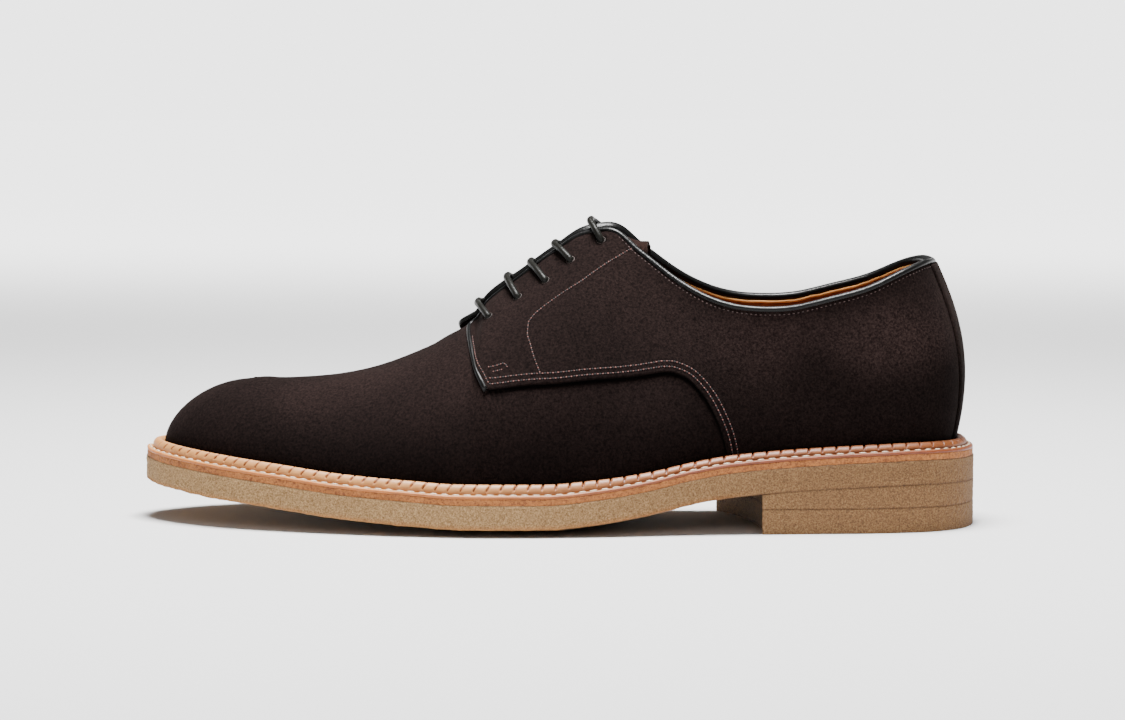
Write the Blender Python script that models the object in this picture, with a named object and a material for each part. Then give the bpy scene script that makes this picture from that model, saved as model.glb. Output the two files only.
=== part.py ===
"""Left plain-toe derby shoe in suede on a crepe sole.

Metres. +X points to the toe, +Y to the outer (lateral) side, +Z up. The origin is on the floor under
the middle of the heel. Every piece is worked out from one outline of the sole and one set of
sections of the last.
"""

import math

import bmesh
import bpy
from mathutils import Vector

# Sole
SOLE_LENGTH = 0.307
BALL_WIDTH = 0.108
HEEL_CENTRE = 0.0435
HEEL_HEIGHT = 0.0173
TOE_SPRING = 0.0146
OUTSOLE_EDGE = 0.0087
CROWN = 0.0028
TOP_PIECE = 0.009
TOP_PIECE_BEVEL = 0.0011
MIDSOLE = 0.0015
MIDSOLE_INSET = 0.0006
WELT = 0.0015
WELT_INSET = 0.0008
WELT_ROUND = 0.0004
WELT_FLANGE = 0.0125
BEAD_HEIGHT = 0.0036
BEAD_OUTSIDE = 0.0026
BEAD_INSIDE = 0.0055
INSOLE = 0.003
INSOLE_BEVEL = 0.0006
HEEL_LENGTH_LATERAL = 0.0762
HEEL_LENGTH_MEDIAL = 0.0955
BREAST_HOLLOW = 0.0055
BREAST_OVERRUN = 0.4
BREAST_MARGIN = 0.004

# Upper
UPPER_INSET = 0.0066
WALL = 0.0018
QUARTER_STEP = 0.0011
BACK_STRIP = 0.0006
BACK_STRIP_WIDTH = 0.021
INSTEP_RISE = 0.0905
COLLAR_RISE = 0.0668
TOE_RISE = 0.0247
MEDIAL_LIFT = 0.0016
COLLAR_WIDTH = 0.056
FACING_GAP = 0.012
LEVEL_REACH = 0.004
BINDING_HEIGHT = 0.0015
BINDING_MARGIN = 0.0003
BINDING_ROUND = 0.7
TONGUE = 0.0018
TONGUE_CROWN = 0.0006

# Lace
LACE = 0.0025
LACE_ADVANCE = 0.0048
LACE_FRONT_RISE = 0.5
LACE_RUN_OUT = 0.0019
LACE_RUN_DROP = 0.0031
LACE_RUN_THIN = 0.88
LACE_RUN_LEAD = 0.12
EYELET = 0.0034
EYELET_PIN = 0.005

# Fit: the clearance, and the shares of the length where the throat and its neighbours lie
GAP = 0.0003
SOLE_STATIONS = 34
UPPER_STATIONS = 40
THROAT = 0.5783
EXTRA_RIBS = (0.327, 0.364, 0.4025, 0.4415, 0.590)
RIB_STEPS = (0.0, 0.14, 0.28, 0.42, 0.55, 0.67, 0.78, 0.87, 0.94, 1.0)
TONGUE_STEPS = RIB_STEPS[5:]
TONGUE_TOP = 0.398
SLOT_START = 0.55
SLOT_END = 0.75
QUARTER_FORM_END = 0.66
STRIP_FOOT = 0.015
STRIP_TOP = 0.985
BREAST_SHARE = 0.311
FACING_LOWEST_STEP = 0.6

# Small steps round the shoe and up a rib, for directions
PLACE_STEP = 0.004
RIB_STEP = 0.01
GIRTH_STEP = 0.05

# The ribs of the facings end a hair inside the gap between them: share of half the collar width
SLIT = 0.98 * FACING_GAP / COLLAR_WIDTH

# Plan of the sole: distance from the centre line in shares of the ball width
OUTLINE_COLUMNS = ("share", "lateral", "medial")
OUTLINE = (
    (0.000, -0.032, -0.032),
    (0.020, 0.167, -0.232),
    (0.060, 0.260, -0.310),
    (0.120, 0.312, -0.335),
    (0.200, 0.347, -0.325),
    (0.280, 0.384, -0.292),
    (0.360, 0.433, -0.266),
    (0.440, 0.490, -0.272),
    (0.520, 0.529, -0.315),
    (0.580, 0.541, -0.366),
    (0.660, 0.522, -0.430),
    (0.740, 0.478, -0.458),
    (0.820, 0.415, -0.431),
    (0.890, 0.337, -0.357),
    (0.940, 0.246, -0.274),
    (0.975, 0.152, -0.181),
    (1.000, -0.012, -0.012),
)

# Underside of the sole: shares of the heel height, of the toe spring and of the crown. The heel's
# breast lies at BREAST_SHARE in this table
UNDERSIDE_COLUMNS = ("share", "heel", "toe", "crown")
UNDERSIDE = (
    (0.000, 0.96, 0.000, 0.00),
    (0.060, 1.00, 0.000, 0.00),
    (0.120, 0.97, 0.000, 0.00),
    (0.200, 0.90, 0.000, 0.00),
    (0.280, 0.76, 0.000, 0.15),
    (0.330, 0.58, 0.000, 0.35),
    (0.380, 0.33, 0.000, 0.60),
    (0.440, 0.11, 0.000, 0.90),
    (0.500, 0.00, 0.000, 1.00),
    (0.600, 0.00, 0.000, 1.00),
    (0.660, 0.00, 0.082, 0.93),
    (0.740, 0.00, 0.226, 0.75),
    (0.820, 0.00, 0.468, 0.45),
    (0.890, 0.00, 0.667, 0.20),
    (0.950, 0.00, 0.816, 0.10),
    (1.000, 0.00, 1.000, 0.05),
)

# Underside across the sole: distance inside the edge in shares of the ball width, and of the crown
BEND_COLUMNS = ("inset", "crown")
BEND = (
    (0.2400, 0.00),
    (0.1480, 0.30),
    (0.0740, 0.65),
    (0.0280, 0.88),
    (0.0074, 0.96),
    (0.0000, 1.00),
)
BEND_NARROW = 0.4

# Raised bead of the welt: shares of its width and of its height
BEAD_COLUMNS = ("across", "rise")
BEAD = (
    (0.00, 0.00),
    (0.03, 0.55),
    (0.20, 0.88),
    (0.50, 1.00),
    (0.86, 0.88),
    (1.00, 0.55),
    (1.00, 0.00),
)

# Top line of the last: place along the length, distances from the centre line in shares of half the
# collar width, rise above the welt in shares of the three rises, and the lift of the medial side
TOP_COLUMNS = ("share", "along", "lateral", "medial", "collar", "instep", "toe", "lift")
TOP = (
    (0.000, 0.0505, -0.11, -0.11, 1.000, 0.000, 0.000, 0.0),
    (0.020, 0.0600, 0.32, -0.52, 0.996, 0.000, 0.000, 0.3),
    (0.060, 0.0850, 0.68, -0.83, 0.952, 0.000, 0.000, 0.8),
    (0.120, 0.1310, 0.90, -0.97, 0.862, 0.000, 0.000, 1.0),
    (0.200, 0.2010, 1.00, -1.00, 0.795, 0.000, 0.000, 1.0),
    (0.280, 0.2730, 0.98, -0.96, 0.640, 0.125, 0.000, 0.8),
    (0.330, 0.3220, 0.84, -0.81, 0.313, 0.440, 0.000, 0.3),
    (0.370, 0.3640, 0.63, -0.60, 0.100, 0.712, 0.000, -0.1),
    (0.405, 0.4020, 0.42, -0.41, 0.000, 0.910, 0.000, 0.3),
    (0.435, 0.4360, 0.27, -0.27, 0.000, 0.998, 0.000, 0.8),
    (0.460, 0.4640, SLIT, -SLIT, 0.000, 0.990, 0.000, 1.0),
    (0.500, 0.5020, SLIT, -SLIT, 0.000, 0.918, 0.000, 0.9),
    (0.540, 0.5400, SLIT, -SLIT, 0.000, 0.822, 0.000, 0.7),
    (0.5783, 0.5783, SLIT, -SLIT, 0.000, 0.722, 0.000, 0.3),
    (0.590, 0.5910, 0.00, 0.00, 0.000, 0.668, 0.000, 0.0),
    (0.600, 0.6020, 0.00, 0.00, 0.000, 0.640, 0.000, 0.0),
    (0.640, 0.6410, 0.00, 0.00, 0.000, 0.558, 0.000, 0.0),
    (0.690, 0.6890, 0.00, 0.00, 0.000, 0.400, 0.270, 0.0),
    (0.740, 0.7350, 0.00, 0.00, 0.000, 0.240, 0.635, 0.0),
    (0.790, 0.7780, 0.00, 0.00, 0.000, 0.110, 0.953, 0.0),
    (0.840, 0.8140, 0.00, 0.00, 0.000, 0.030, 1.150, 0.0),
    (0.890, 0.8400, 0.00, 0.00, 0.000, 0.000, 1.194, 0.0),
    (0.940, 0.8560, 0.00, 0.00, 0.000, 0.000, 1.126, 0.0),
    (0.970, 0.8620, 0.00, 0.00, 0.000, 0.000, 1.073, 0.0),
    (1.000, 0.8650, 0.00, 0.00, 0.000, 0.000, 1.000, 0.0),
)

# Shape of each rib: lean of the wall at its foot, length of its two handles in shares of the rib's
# reach, slope where it meets the top line in degrees, and the layers that lie over it
RIB_COLUMNS = ("share", "lean", "foot", "slope", "lateral_top", "medial_top", "quarter", "back")
RIBS = (
    (0.000, 0.27, 0.39, 64.0, 0.38, 0.38, 1.0, 1.0),
    (0.030, 0.22, 0.38, 70.0, 0.36, 0.36, 1.0, 0.0),
    (0.100, 0.14, 0.36, 79.0, 0.35, 0.35, 1.0, 0.0),
    (0.200, 0.10, 0.35, 82.0, 0.34, 0.34, 1.0, 0.0),
    (0.280, 0.08, 0.36, 80.0, 0.34, 0.34, 1.0, 0.0),
    (0.340, 0.06, 0.38, 74.0, 0.34, 0.35, 0.6, 0.0),
    (0.400, 0.05, 0.40, 62.0, 0.33, 0.36, 0.2, 0.0),
    (0.450, 0.04, 0.42, 44.0, 0.32, 0.37, 0.0, 0.0),
    (0.500, 0.04, 0.44, 34.0, 0.33, 0.39, 0.0, 0.0),
    (0.560, 0.05, 0.47, 22.0, 0.35, 0.43, 0.0, 0.0),
    (0.600, 0.06, 0.48, 6.0, 0.37, 0.46, 0.0, 0.0),
    (0.660, 0.08, 0.48, 0.0, 0.41, 0.50, 0.0, 0.0),
    (0.740, 0.10, 0.48, 0.0, 0.46, 0.53, 0.0, 0.0),
    (0.840, 0.10, 0.47, 0.0, 0.50, 0.54, 0.0, 0.0),
    (1.000, 0.06, 0.46, 0.0, 0.44, 0.44, 0.0, 0.0),
)

# Edge of the quarter from the welt to the facing: shares of the length and of the instep rise
QUARTER_COLUMNS = ("along", "rise")
QUARTER_EDGE = (
    (0.2860, -0.100),
    (0.2930, 0.070),
    (0.3050, 0.190),
    (0.3220, 0.295),
    (0.3430, 0.370),
    (0.3660, 0.405),
    (0.3970, 0.413),
    (0.4600, 0.428),
    (0.5130, 0.422),
    (0.5640, 0.401),
)
FACING_EDGE = (
    (0.5705, 0.403),
    (0.5880, 0.510),
    (0.6010, 0.610),
    (0.6065, 0.680),
    (0.6000, 0.760),
)

# Eyelets: place along the length and down the rib
EYELET_COLUMNS = ("along", "step")
EYELETS = (
    (0.4445, 0.886),
    (0.4800, 0.874),
    (0.5095, 0.868),
    (0.5420, 0.865),
    (0.5750, 0.862),
)


def columns(names, rows):
    """Turn a table's rows into named lists."""
    return {name: [row[i] for row in rows] for i, name in enumerate(names)}


OUTLINE_TABLE = columns(OUTLINE_COLUMNS, OUTLINE)
UNDERSIDE_TABLE = columns(UNDERSIDE_COLUMNS, UNDERSIDE)
TOP_TABLE = columns(TOP_COLUMNS, TOP)
RIB_TABLE = columns(RIB_COLUMNS, RIBS)


def turn(share):
    """Place round the sole for a share of its length: it spreads the stations at the round ends."""
    return math.acos(1.0 - 2.0 * min(max(share, 0.0), 1.0)) / math.pi


def share_of(place):
    """Share of the length for a place round the sole, the other way round from turn."""
    return 0.5 - 0.5 * math.cos(math.pi * place)


def smooth_curve(xs, ys, x):
    """Cubic curve through the points that never overshoots them."""
    last = len(xs) - 2
    i = 0
    while i < last and x > xs[i + 1]:
        i += 1

    def secant(k):
        return (ys[k + 1] - ys[k]) / (xs[k + 1] - xs[k])

    def tangent(k):
        if k == 0:
            return secant(0)
        if k == len(xs) - 1:
            return secant(k - 1)
        before, after = secant(k - 1), secant(k)
        if before * after <= 0.0:
            return 0.0
        return 2.0 * before * after / (before + after)

    step = xs[i + 1] - xs[i]
    t = (x - xs[i]) / step
    rise = ys[i] * (1 + 2 * t) * (1 - t) ** 2 + ys[i + 1] * t * t * (3 - 2 * t)
    bend = tangent(i) * t * (1 - t) ** 2 - tangent(i + 1) * t * t * (1 - t)
    return rise + step * bend


TURNS = {
    id(table): [turn(share) for share in table["share"]]
    for table in (OUTLINE_TABLE, UNDERSIDE_TABLE, TOP_TABLE, RIB_TABLE)
}


def read(table, name, share):
    """Value of a table's column at a share of the length."""
    return smooth_curve(TURNS[id(table)], table[name], turn(share))


def along(share):
    """X of a share of the sole's length."""
    return share * SOLE_LENGTH - HEEL_CENTRE


def share_at(x):
    """Share of the sole's length at X."""
    return min(max((x + HEEL_CENTRE) / SOLE_LENGTH, 0.0), 1.0)


def side_of(place):
    """Side and place for a walk round the shoe: 0 to 1 lateral from the heel, 1 to 2 medial back."""
    place = place % 2.0
    if place <= 1.0:
        return "lateral", place
    return "medial", 2.0 - place


# Sole levels


def underside_share(x):
    """Share in the underside's table at X: the heel keeps its own length."""
    ahead = x + HEEL_CENTRE - HEEL_LENGTH_MEDIAL
    if ahead < 0.0:
        share = BREAST_SHARE * (1.0 + ahead / HEEL_LENGTH_MEDIAL)
    else:
        share = BREAST_SHARE + (1.0 - BREAST_SHARE) * ahead / (SOLE_LENGTH - HEEL_LENGTH_MEDIAL)
    return min(max(share, 0.0), 1.0)


def ground(x):
    """Underside of the outsole along its middle."""
    share = underside_share(x)
    heel = read(UNDERSIDE_TABLE, "heel", share)
    toe = read(UNDERSIDE_TABLE, "toe", share)
    return heel * HEEL_HEIGHT + toe * TOE_SPRING


def crown(x):
    """How far the outsole's edge rises above its middle."""
    return CROWN * read(UNDERSIDE_TABLE, "crown", underside_share(x))


def outsole_top(x):
    return ground(x) + crown(x) + OUTSOLE_EDGE


def midsole_top(x):
    return outsole_top(x) + GAP + MIDSOLE


def welt_top(x):
    return midsole_top(x) + GAP + WELT


def outline(place, inset=0.0):
    """Point of the sole's edge, moved inwards by the inset."""

    def edge(where):
        side, local = side_of(where)
        share = share_of(local)
        return Vector((along(share), BALL_WIDTH * read(OUTLINE_TABLE, side, share), 0.0))

    point = edge(place)
    run = (edge(place + PLACE_STEP) - edge(place - PLACE_STEP)).normalized()
    return point + Vector((run.y, -run.x, 0.0)) * inset


def inward(place):
    """Unit vector from the sole's edge towards its middle."""
    return (outline(place, UPPER_INSET) - outline(place)).normalized()


# Surface of the last


def top_point(place):
    """Point of the top line: collar, facing edge or ridge of the vamp."""
    side, local = side_of(place)
    share = share_of(local)
    collar = read(TOP_TABLE, "collar", share) * COLLAR_RISE
    instep = read(TOP_TABLE, "instep", share) * INSTEP_RISE
    toe = read(TOP_TABLE, "toe", share) * TOE_RISE
    x = along(read(TOP_TABLE, "along", share))
    out = read(TOP_TABLE, side, share)
    y = out * COLLAR_WIDTH / 2.0
    z = welt_top(along(share)) + collar + instep + toe
    if side == "medial":
        z += MEDIAL_LIFT * read(TOP_TABLE, "lift", share)
    return Vector((x, y, z))


def foot_point(place):
    """Point where the upper meets the welt, held back by the layers that lie over it."""
    share = share_of(side_of(place)[1])
    inset = UPPER_INSET + QUARTER_STEP * read(RIB_TABLE, "quarter", share)
    inset += (BACK_STRIP + GAP) * read(RIB_TABLE, "back", share)
    point = outline(place, inset)
    point.z = welt_top(point.x) + GAP
    return point


def surface(place, step):
    """Point of the upper's outer face: a cubic rib from the welt, step 0, to the top line, step 1."""
    side, local = side_of(place)
    share = share_of(local)
    foot = foot_point(place)
    top = top_point(place)
    reach = top - foot
    height = reach.z * read(RIB_TABLE, "foot", share)
    lean = height * read(RIB_TABLE, "lean", share)
    first = foot - inward(place) * lean + Vector((0.0, 0.0, height))
    level = Vector((reach.x, reach.y, 0.0)) + inward(place) * LEVEL_REACH
    slope = math.radians(read(RIB_TABLE, "slope", share))
    rise = Vector((0.0, 0.0, math.sin(slope)))
    handle = reach.length * read(RIB_TABLE, side + "_top", share)
    second = top - (level.normalized() * math.cos(slope) + rise) * handle
    rest = 1.0 - step
    near = foot * rest**3 + first * (3.0 * rest * rest * step)
    far = second * (3.0 * rest * step * step) + top * step**3
    return near + far


def normal(place, step):
    """Unit vector out of the upper's face."""
    low = max(step - RIB_STEP, 0.0)
    high = min(step + RIB_STEP, 1.0)
    up = surface(place, high) - surface(place, low)
    run = surface(place + PLACE_STEP, step) - surface(place - PLACE_STEP, step)
    return up.cross(run).normalized()


def lifted(place, step, height):
    """Point above the upper's face, or below it for a negative height."""
    return surface(place, step) + normal(place, step) * height


def place_at(x):
    """Place round the shoe where the top line passes X, on the lateral side."""
    low, high = 0.02, 0.98
    for _ in range(40):
        middle = (low + high) / 2.0
        if top_point(middle).x < x:
            low = middle
        else:
            high = middle
    return low


def mirrored(place):
    """The same place on the medial side."""
    return 2.0 - place


# Mesh helpers


def material(name, colour, roughness):
    """Plain material in the piece's own colour."""
    finish = bpy.data.materials.new(name)
    finish.use_nodes = True
    shader = finish.node_tree.nodes["Principled BSDF"]
    shader.inputs["Base Color"].default_value = (*colour, 1.0)
    shader.inputs["Roughness"].default_value = roughness
    return finish


def new_object(name, points, faces, finish=None):
    """Object from points and faces, with its normals made to point out."""
    mesh = bpy.data.meshes.new(name)
    mesh.from_pydata([tuple(point) for point in points], [], faces)
    work = bmesh.new()
    work.from_mesh(mesh)
    bmesh.ops.remove_doubles(work, verts=work.verts, dist=1e-6)
    bmesh.ops.recalc_face_normals(work, faces=work.faces)
    work.to_mesh(mesh)
    work.free()
    mesh.shade_smooth()
    mesh.set_sharp_from_angle(angle=math.radians(40.0))
    item = bpy.data.objects.new(name, mesh)
    bpy.context.scene.collection.objects.link(item)
    if finish:
        mesh.materials.append(finish)
    return item


def guide(item):
    """Mark an object as a cutter or a form for a boolean."""
    item.hide_render = True
    item.display_type = "WIRE"
    return item


def solidify(item, thickness, outside):
    """Give a sheet its thickness, with the share of it that lies outside the sheet."""
    wall = item.modifiers.new("wall", "SOLIDIFY")
    wall.thickness = thickness
    wall.offset = 2.0 * outside / thickness - 1.0
    wall.use_quality_normals = True


def boolean(item, other, operation):
    """Join or cut an item with another."""
    cut = item.modifiers.new(operation.lower() + " " + other.name, "BOOLEAN")
    cut.operation = operation
    cut.solver = "EXACT"
    cut.object = other


def grid_faces(rows, width, closed=False):
    """Faces between rows of points that are each as wide."""
    faces = []
    for i in range(rows - 1):
        for j in range(width if closed else width - 1):
            k = (j + 1) % width
            faces.append((i * width + j, i * width + k, (i + 1) * width + k, (i + 1) * width + j))
    return faces


def loop_places(end_share=1.0):
    """Places round the sole, from the heel to a share of the length, on both sides."""
    end = turn(end_share)
    lateral = [end * i / SOLE_STATIONS for i in range(SOLE_STATIONS + 1)]
    medial = [mirrored(place) for place in reversed(lateral[1:])]
    if end_share == 1.0:
        medial = medial[1:]
    return lateral + medial


def ring(places, inset, level):
    """Ring of points inside the sole's edge, each at its own level."""
    points = []
    for place in places:
        share = share_of(side_of(place)[1])
        point = outline(place, inset(share) if callable(inset) else inset)
        point.z = level(point.x)
        points.append(point)
    return points


def plate(name, profile, finish, end_share=1.0):
    """Solid layer of the sole: rings from its underside to its top, closed across by strips."""
    places = loop_places(end_share)
    width = len(places)
    points = []
    for inset, level in profile:
        points += ring(places, inset, level)
    faces = grid_faces(len(profile), width, closed=True)
    for start in (0, (len(profile) - 1) * width):
        for i in range(SOLE_STATIONS):
            pair = [start + i, start + i + 1]
            for k in (i + 1, i):
                other = start + (width - k) % width
                if other not in pair:
                    pair.append(other)
            faces.append(tuple(pair))
    return new_object(name, points, faces, finish)


def sheet_points(places, steps, height):
    return [lifted(place, step, height) for place in places for step in steps]


def lateral_places():
    """Places of the upper's ribs from the heel to the toe: even ones, and some at the throat."""
    even = [i / UPPER_STATIONS for i in range(UPPER_STATIONS + 1)]
    return sorted(even + [turn(share) for share in EXTRA_RIBS])


def upper_places():
    """Places of the upper's ribs, all the way round."""
    lateral = lateral_places()
    return lateral + [mirrored(place) for place in reversed(lateral[1:-1])]


def both_sides(places):
    """Places on the medial side, the heel, and the same places on the lateral side."""
    return [-place for place in reversed(places[1:])] + places


# Sole pieces


def make_outsole(finish):
    """Crepe outsole, flat in its middle and rising a little to its edge."""
    profile = [(narrowed(inset), crowned(part)) for inset, part in BEND]
    profile.append((0.0, outsole_top))
    return plate("outsole", profile, finish)


def narrowed(inset):
    """Inset in shares of the ball width, made less where the sole is narrow."""

    def at_share(share):
        width = read(OUTLINE_TABLE, "lateral", share) - read(OUTLINE_TABLE, "medial", share)
        return inset * BALL_WIDTH * (BEND_NARROW + (1.0 - BEND_NARROW) * width)

    return at_share


def crowned(part):
    """Level of the underside with a part of its crown."""
    return lambda x: ground(x) + crown(x) * part


def make_heel(crepe):
    """Two heel lifts, cut off in front by the hollow breast."""
    end = share_at(HEEL_LENGTH_MEDIAL - HEEL_CENTRE + BREAST_MARGIN)
    cutter = guide(breast_cutter())
    low = (
        (TOP_PIECE_BEVEL, lambda x: 0.0),
        (0.0, lambda x: TOP_PIECE_BEVEL),
        (0.0, lambda x: TOP_PIECE),
    )
    high = ((0.0, lambda x: TOP_PIECE + GAP), (0.0, lambda x: ground(x) - GAP))
    for name, profile in (("heel_top_piece", low), ("heel_lift", high)):
        lift = plate(name, profile, crepe, end)
        boolean(lift, cutter, "DIFFERENCE")


def breast_cutter():
    """Block in front of the heel, bounded by the hollow arc of the breast."""
    lateral = outline(turn(HEEL_LENGTH_LATERAL / SOLE_LENGTH))
    medial = outline(mirrored(turn(HEEL_LENGTH_MEDIAL / SOLE_LENGTH)))
    chord = medial - lateral
    back = Vector((chord.y, -chord.x, 0.0)).normalized()
    steps = 10
    arc = [lateral - chord * BREAST_OVERRUN]
    for i in range(steps + 1):
        part = i / steps
        arc.append(lateral + chord * part + back * (BREAST_HOLLOW * 4.0 * part * (1.0 - part)))
    arc.append(medial + chord * BREAST_OVERRUN)
    front = Vector((SOLE_LENGTH, 0.0, 0.0))
    plan = arc + [arc[-1] + front, arc[0] + front]
    count = len(plan)
    points = [point + Vector((0.0, 0.0, z)) for z in (-HEEL_HEIGHT, 2.0 * HEEL_HEIGHT) for point in plan]
    faces = grid_faces(2, count, closed=True)
    faces.append(tuple(range(count)))
    faces.append(tuple(range(count, 2 * count)))
    return new_object("breast_cutter", points, faces)


def make_midsole(finish):
    """Leather layer between the crepe and the welt."""
    profile = ((MIDSOLE_INSET, lambda x: outsole_top(x) + GAP), (MIDSOLE_INSET, midsole_top))
    return plate("midsole", profile, finish)


def make_welt(finish):
    """Welt all the way round, with the raised bead that leans on the upper."""
    section = [
        (WELT_FLANGE, -WELT),
        (WELT_INSET, -WELT),
        (WELT_INSET - WELT_ROUND / 2.0, -WELT_ROUND),
        (WELT_INSET + WELT_ROUND / 2.0, 0.0),
    ]
    for across, rise in BEAD:
        section.append((BEAD_OUTSIDE + (BEAD_INSIDE - BEAD_OUTSIDE) * across, BEAD_HEIGHT * rise))
    section.append((WELT_FLANGE, 0.0))
    places = loop_places()
    points = []
    for inset, rise in section + section[:1]:
        points += ring(places, inset, lambda x, rise=rise: welt_top(x) + rise)
    return new_object("welt", points, grid_faces(len(section) + 1, len(places), closed=True), finish)


def make_insole(finish):
    """Insole that fills the welt and reaches to the upper's inner face."""

    def inside_wall(share):
        quarter = QUARTER_STEP * read(RIB_TABLE, "quarter", share)
        back = (BACK_STRIP + GAP) * read(RIB_TABLE, "back", share)
        return UPPER_INSET + quarter + back + WALL + 2.0 * GAP

    core = WELT_FLANGE + GAP
    profile = (
        (core, lambda x: midsole_top(x) + GAP),
        (core, lambda x: welt_top(x) + GAP),
        (inside_wall, lambda x: welt_top(x) + GAP),
        (inside_wall, lambda x: welt_top(x) + GAP + INSOLE - INSOLE_BEVEL),
        (lambda share: inside_wall(share) + INSOLE_BEVEL, lambda x: welt_top(x) + GAP + INSOLE),
    )
    return plate("insole", profile, finish)


# Upper pieces


def quarter_cutter():
    """Block with the quarter's outline from the side, through both sides of the shoe."""
    rows = columns(QUARTER_COLUMNS, QUARTER_EDGE)
    lower = []
    for i in range(19):
        at = i / 18.0 * (len(QUARTER_EDGE) - 1)
        spots = list(range(len(QUARTER_EDGE)))
        lower.append((smooth_curve(spots, rows["along"], at), smooth_curve(spots, rows["rise"], at)))
    line = []
    for part, rise in lower + list(FACING_EDGE):
        x = along(part)
        line.append((x, welt_top(x) + rise * INSTEP_RISE))
    roof = 2.0 * INSTEP_RISE
    line += [(line[-1][0], roof), (-SOLE_LENGTH, roof), (-SOLE_LENGTH, 0.0), (line[0][0], 0.0)]
    count = len(line)
    points = [Vector((x, y, z)) for y in (-BALL_WIDTH, BALL_WIDTH) for x, z in line]
    faces = grid_faces(2, count, closed=True)
    faces.append(tuple(range(count)))
    faces.append(tuple(range(count, 2 * count)))
    return guide(new_object("quarter_cutter", points, faces))


def slot_cutter():
    """Block that keeps the two facings apart in front."""
    half = FACING_GAP / 2.0
    low, high = along(SLOT_START), along(SLOT_END)
    points = [
        Vector((x, y, z)) for x in (low, high) for y in (-half, half) for z in (0.0, 2.0 * INSTEP_RISE)
    ]
    faces = [(0, 1, 3, 2), (4, 6, 7, 5), (0, 4, 5, 1), (2, 3, 7, 6), (0, 2, 6, 4), (1, 5, 7, 3)]
    return guide(new_object("slot_cutter", points, faces))


def make_quarter_form():
    """Second layer of the quarters, sunk halfway into the wall so that it joins it."""
    places = both_sides([place for place in lateral_places() if share_of(place) < QUARTER_FORM_END])
    steps = [0.02] + list(RIB_STEPS[1:-1]) + [0.99]
    points = sheet_points(places, steps, 0.0)
    form = new_object("quarter_form", points, grid_faces(len(places), len(steps)))
    solidify(form, QUARTER_STEP + WALL / 2.0, QUARTER_STEP)
    boolean(form, quarter_cutter(), "INTERSECT")
    boolean(form, slot_cutter(), "DIFFERENCE")
    return guide(form)


def eyelet_places():
    """Place and step of each eyelet on the lateral side."""
    return [(place_at(along(part)), step) for part, step in EYELETS]


def make_eyelet_cutter():
    """Pins through the facings, one for each lace hole."""
    sides = 10
    points, faces = [], []
    for place, step in eyelet_places():
        for spot in (place, mirrored(place)):
            centre = surface(spot, step)
            axis = normal(spot, step)
            across = axis.cross(Vector((1.0, 0.0, 0.0))).normalized()
            other = axis.cross(across)
            start = len(points)
            for depth in (-EYELET_PIN, EYELET_PIN):
                for i in range(sides):
                    angle = math.tau * i / sides
                    spoke = across * math.cos(angle) + other * math.sin(angle)
                    points.append(centre + axis * depth + spoke * (EYELET / 2.0))
            for i in range(sides):
                k = (i + 1) % sides
                faces.append((start + i, start + k, start + sides + k, start + sides + i))
            faces.append(tuple(range(start, start + sides)))
            faces.append(tuple(range(start + sides, start + 2 * sides)))
    return guide(new_object("eyelet_cutter", points, faces))


def make_upper(finish):
    """Hollow upper: the wall of the vamp, with the quarters as a step in it."""
    places = upper_places()
    width = len(RIB_STEPS)
    count = len(places)
    points = [surface(place, step) for place in places for step in RIB_STEPS]
    faces = grid_faces(count, width)
    for j in range(width - 1):
        start = (count - 1) * width + j
        faces.append((start, start + 1, j + 1, j))
    upper = new_object("upper", points, faces, finish)
    solidify(upper, WALL, 0.0)
    boolean(upper, make_quarter_form(), "UNION")
    boolean(upper, make_eyelet_cutter(), "DIFFERENCE")
    return upper


def make_back_strip(finish):
    """Strip over the heel seam, from the welt's bead to the binding."""
    half = BACK_STRIP_WIDTH / 2.0
    rows = [STRIP_FOOT] + list(RIB_STEPS[1:-1]) + [STRIP_TOP]
    across = (-1.0, -0.67, -0.33, 0.0, 0.33, 0.67, 1.0)
    points = []
    for step in rows:
        girth = (surface(GIRTH_STEP, step) - surface(0.0, step)).length / GIRTH_STEP
        for part in across:
            points.append(lifted(part * half / girth, step, QUARTER_STEP + GAP))
    strip = new_object("back_strip", points, grid_faces(len(rows), len(across)), finish)
    orient_outwards(strip, Vector((-1.0, 0.0, 0.0)))
    solidify(strip, BACK_STRIP, BACK_STRIP)
    return strip


def orient_outwards(item, direction):
    """Turn a sheet's faces over where they look away from the direction."""
    work = bmesh.new()
    work.from_mesh(item.data)
    total = sum((face.normal * face.calc_area() for face in work.faces), Vector())
    if total.dot(direction) < 0.0:
        bmesh.ops.reverse_faces(work, faces=work.faces)
    work.to_mesh(item.data)
    work.free()


def make_binding(finish):
    """Binding over the cut edge, from one facing's front round the collar to the other's."""
    places = both_sides([place for place in lateral_places() if share_of(place) <= THROAT + 1e-6])
    half = (WALL + QUARTER_STEP) / 2.0 + BINDING_MARGIN
    points = []
    for place in places:
        out = normal(place, 1.0)
        up = (surface(place, 1.0) - surface(place, 1.0 - RIB_STEP)).normalized()
        middle = surface(place, 1.0) + out * ((QUARTER_STEP - WALL) / 2.0)
        low = middle + up * GAP
        high = middle + up * (GAP + BINDING_HEIGHT)
        points += [low - out * half, low + out * half]
        points += [high + out * half * BINDING_ROUND, high - out * half * BINDING_ROUND]
    faces = grid_faces(len(places), 4, closed=True)
    faces.append((0, 1, 2, 3))
    end = len(points)
    faces.append((end - 1, end - 2, end - 3, end - 4))
    return new_object("binding", points, faces, finish)


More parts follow.
